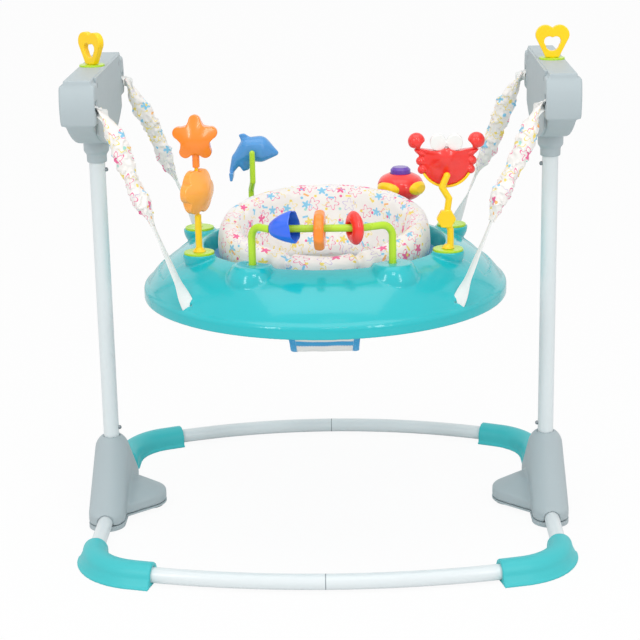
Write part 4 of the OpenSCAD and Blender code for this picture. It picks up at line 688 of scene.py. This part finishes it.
def pad_height(a):
    """Height of the pad above the ring at an angle from +X."""
    return pad_front + (pad_back - pad_front) * ((1 + math.sin(a)) / 2) ** 0.8


pad_section = (  # across in half widths; up in heights, or down in skirt depths where negative
    (0.80, 0), (0.97, 0.14), (1, 0.40), (0.93, 0.68), (0.70, 0.90), (0.34, 1), (-0.02, 0.97), (-0.36, 0.86),
    (-0.66, 0.66), (-0.92, 0.38), (-1.2, 0.05), (-1.55, -0.4), (-1.8, -0.8), (-1.62, -1), (-0.9, -0.95), (-0.1, -0.6),
    (0.08, -0.2), (0.14, 0), (0.5, 0))
rings = []
for i in range(144):
    a = -math.pi + 2 * math.pi * i / 144
    h, ring = pad_height(a) - 2 * shy, []
    for across, rise in pad_section:
        r = pad_r + (pad_half - shy) * across
        ring.append(Vector((r * math.cos(a), r * math.sin(a), pad_z + shy + rise * (h if rise > 0 else pad_skirt))))
    rings.append(ring)
pad = loft("seat_cushion", rings, printed, (1.0, 0.2), loop=True)
even = pad.modifiers.new("even", "REMESH")
even.mode, even.voxel_size, even.use_smooth_shade = "VOXEL", 0.005, True
settle(pad)
swell = pad.modifiers.new("swell", "CLOTH")
swell.settings.use_pressure, swell.settings.uniform_pressure_force = True, 4
swell.settings.effector_weights.gravity = 0
swell.point_cache.frame_start, swell.point_cache.frame_end = 1, 20
before = [v.co.copy() for v in pad.data.vertices]
for step in range(1, 21):
    bpy.context.scene.frame_set(step)
settle(pad)
for v, was in zip(pad.data.vertices, before):
    move = v.co - was
    v.co = was + move * min(1, swell_most / max(move.length, 1e-9))
finer = pad.modifiers.new("finer", "SUBSURF")
finer.levels = finer.render_levels = 1
settle(pad)
for v in pad.data.vertices:
    r, a = math.hypot(v.co.x, v.co.y), math.atan2(v.co.x, -v.co.y)
    fold = math.exp(-((abs(a) - crease_at) / crease_wide) ** 2)
    core = Vector((pad_r * math.sin(a), -pad_r * math.cos(a), pad_z + crease_core))
    ease = min(1, max(0, (r - pad_r + 0.022) / 0.02))
    v.co += (core - v.co).normalized() * (crease_deep * fold * ease)
    soft = noise.noise(v.co * 28) * 0.0012 + noise.noise(v.co * 75) * 0.0005
    v.co += Vector((v.co.x / r, v.co.y / r, 0.6)) * soft
    r = math.hypot(v.co.x, v.co.y)
    if v.co.z < pad_z and r > ring_in:
        if r - ring_in < pad_z - v.co.z:
            v.co.x, v.co.y = v.co.x * ring_in / r, v.co.y * ring_in / r
        else:
            v.co.z = pad_z
chart = pad.data.uv_layers.get("flat") or pad.data.uv_layers.new(name="flat")
for face in pad.data.polygons:
    first = None
    for loop, v in zip(face.loop_indices, (pad.data.vertices[i].co for i in face.vertices)):
        a, r = math.atan2(v.x, -v.y), math.hypot(v.x, v.y)
        a = (a - crease_at) % (2 * math.pi)
        first = a if first is None else first
        a += 2 * math.pi * round((first - a) / (2 * math.pi))
        deep = pad_z + pad_height(a + crease_at - math.pi / 2) - v.z + abs(r - pad_r)
        chart.data[loop].uv = (a * pad_r, math.copysign(deep, pad_r - r))
dress(pad, printed)
pad.data.shade_smooth()
stand_for(pad, "seat_pad")

# Socket caps: thin lime plastic discs with rounded edges that close the tray's six capped pods. The toys' pegs go
# through them into the sockets.
softened(lime, "socket_caps", voxel=0.0008, rounds=4)

# Bead bar: a bent lime rod set in the two front pods, with three glossy beads that slide along it. The beads are turned
# from profiles: a blue bell, an orange disc with a wavy rim that hangs low, and a red lens.
wear(lime, "bead_bar")
orange = moulded("orange", "#FF8A1C", rough=0.22, coat=0.35)
bead_blue = moulded("bead_blue", "#2A68EC", rough=0.22, coat=0.35)
red = moulded("red", "#F5332C", rough=0.22, coat=0.35)


def turned(name, profile, skin, turn=0, tilt=0, pivot=0, drop=0, waves=0, deep=0):
    """A bead turned from a profile of (along, radius) in mm, wavy at its widest, hung askew about a pivot."""
    rings, wide = [], max(r for along, r in profile)
    for along, r in profile:
        ring = []
        for b in (math.tau * k / 72 for k in range(72)):
            out = r + deep * (r / wide) ** 6 * math.cos(waves * b)
            ring.append(0.001 * Vector((along, out * math.cos(b), out * math.sin(b))))
        rings.append(ring)
    bead = loft(name + "_bead", rings, skin, (0.1, 0.1), loop=True)
    lo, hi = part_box(name)
    hung = Vector(((lo[0] + hi[0]) / 2 + pivot, bar_y, bar_z - drop))
    askew = Matrix.Rotation(math.radians(turn), 4, "Z") @ Matrix.Rotation(math.radians(tilt), 4, "Y")
    bead.data.transform(Matrix.Translation(hung) @ askew @ Matrix.Translation((-pivot, 0, 0)))
    finer = bead.modifiers.new("finer", "SUBSURF")
    finer.levels = finer.render_levels = 1
    return stand_for(settle(bead), name)


bar_y, bar_z = -0.218, 0.548
turned("bead_fish", ((-20, 7.3), (-20.6, 8), (-20.3, 9.6), (-18.6, 11.6), (-13, 15.4), (-6, 19), (2, 22), (10, 24.2),
                     (16, 25.4), (19.4, 26), (20.4, 25), (19.6, 23.6), (14, 22), (6, 19.4), (-3, 15.8), (-11, 11.8),
                     (-16, 9), (-17.5, 7.5)), bead_blue, turn=-17, tilt=-9, pivot=-0.018, waves=7, deep=1.2)
turned("bead_orange", ((-8.4, 24), (-8.2, 28.6), (-6, 31.4), (0, 32.4), (6, 31.4), (8.2, 28.6), (8.4, 24), (8, 14),
                       (6.4, 10.4), (0, 9.4), (-6.4, 10.4), (-8, 14)), orange, turn=-3, drop=0.0035, waves=9, deep=0.9)
turned("bead_red", ((0, 27.4), (2.5, 26.8), (6, 23.5), (8.6, 18), (9.6, 13.5), (9, 11.2), (6, 9.2), (0, 7.4), (-6, 9.2),
                    (-9, 11.2), (-9.6, 13.5), (-8.6, 18), (-6, 23.5), (-2.5, 26.8)), red, turn=24)

# Star and flower: an orange and an amber plastic spinner, one above the other on a yellow stalk. Both are rounded
# copies of the solids with swollen faces.
amber = moulded("amber", "#FFAB45", rough=0.24, coat=0.3)


def domed(piece, gain, reach, rise=0):
    """Swells both faces of a flat upright toy about a point this far above its middle, as a blown moulding does."""
    points = [v.co.copy() for v in piece.data.vertices]
    middle = sum(points, Vector()) / len(points)
    points, top = [q - middle for q in points], Vector((0, 0, rise))
    along = 0.5 * math.atan2(2 * sum(q.x * q.y for q in points), sum(q.x * q.x - q.y * q.y for q in points))
    across = Vector((-math.sin(along), math.cos(along), 0))
    for v, q in zip(piece.data.vertices, points):
        out = q.dot(across)
        v.co += across * out * gain * max(0, 1 - ((q - out * across - top).length / reach) ** 2) ** 2


domed(softened(orange, "star", voxel=0.0009, rounds=12), gain=0.45, reach=0.040)
domed(softened(amber, "flower", voxel=0.0009, rounds=8), gain=0.45, reach=0.040)
wear(yellow, "star_stalk")

# Crab: a glossy red rattle with a yellow rim under its shell and two white eyes, pinned to a crooked yellow stalk so
# that it rocks. Its claws are leaned out and lowered from the solid's, and its shell is swollen.
white = moulded("white_plastic", "#EFEFEC", rough=0.3, coat=0.15)
crab = softened(red, "crab_body", voxel=0.0009, rounds=5)
lo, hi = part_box("crab_body")
shoulder_z, claw_lean, claw_drop = 0.638, 0.016, 0.010
for v in crab.data.vertices:
    out, rise = v.co.x - (lo[0] + hi[0]) / 2, max(0, v.co.z - shoulder_z)
    v.co.x += math.copysign(min(claw_lean, 0.9 * rise) * ease_in(abs(out) / 0.018), out)
    v.co.z -= claw_drop * ease_in((rise - 0.005) / 0.019) * ease_in((abs(out) - 0.012) / 0.008)
domed(crab, gain=0.6, reach=0.034, rise=0.008)
softened(yellow, "crab_rim", voxel=0.0008, rounds=3)
softened(white, "crab_eyes", voxel=0.0008, rounds=8)
softened(yellow, "crab_stalk", voxel=0.0008, rounds=6)

# Dolphin: a blue plastic figure that rocks on a lime stem at the back of the tray. Its back is raised from the solid's
# and a flipper is drawn down from its belly.
sea_blue = moulded("sea_blue", "#4C97D8", rough=0.24, coat=0.3)
dolphin = softened(sea_blue, "dolphin", voxel=0.0009, rounds=8)
back_rise, back_z, tail_x, nose_x, back_soft = 0.0075, 0.588, -0.168, -0.083, 0.024
flipper_x, flipper_y, flipper_l, belly_z = -0.143, 0.1998, 0.015, 0.590
for v in dolphin.data.vertices:
    x, y, z = v.co
    along = ease_in((x - tail_x) / back_soft) * ease_in((nose_x - x) / back_soft)
    v.co.z += back_rise * ease_in((z - back_z) / 0.014) * along
    flipper = ease_in(1.4 - abs(x - flipper_x) / 0.010) * ease_in(1.6 - abs(y - flipper_y) / 0.008)
    v.co.z -= flipper_l * flipper * ease_in((belly_z - z) / 0.012)
rounded = dolphin.modifiers.new("rounded", "SMOOTH")
rounded.factor, rounded.iterations = 0.5, 14
settle(dolphin)
softened(lime, "dolphin_stem", voxel=0.0008, rounds=4)

# Fish: a red plastic squeaker with two yellow fins and a purple button on top that presses down on a steel spring. Its
# body is widened from the solid's, and its fins are larger and further to the front.
purple = moulded("purple", "#6538AE", rough=0.24, coat=0.3)
fish_at, fish_wider, fish_low, fish_high = Vector((0.1348, 0.1998, 0)), 0.12, 0.488, 0.553
fish = softened(red, "fish_body", voxel=0.0011, rounds=4)
for v in fish.data.vertices:
    share = ease_in((v.co.z - fish_low) / 0.02) * ease_in((fish_high - v.co.z) / 0.008)
    v.co.xy += (v.co - fish_at).xy * (fish_wider * share)
fins, fin_z, fin_taller = softened(yellow, "fish_fins", voxel=0.0007, rounds=5), 0.529, 0.2
for v in fins.data.vertices:
    out = v.co - fish_at
    far, turn = out.xy.length * (1 + fish_wider), math.degrees(math.atan2(out.y, out.x))
    was, now, wider = (-23, -28, 2.0) if turn > -90 else (-157, -142, 2.3)
    turn = math.radians(now + wider * (turn - was))
    v.co.xy = fish_at.xy + far * Vector((math.cos(turn), math.sin(turn)))
    v.co.z += fin_taller * (v.co.z - fin_z)
softened(purple, "fish_button", voxel=0.0007, rounds=4)
spring = stand_for(shown(zinc, "fish_spring"), "fish_spring")
lo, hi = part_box("fish_spring")
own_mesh(spring)
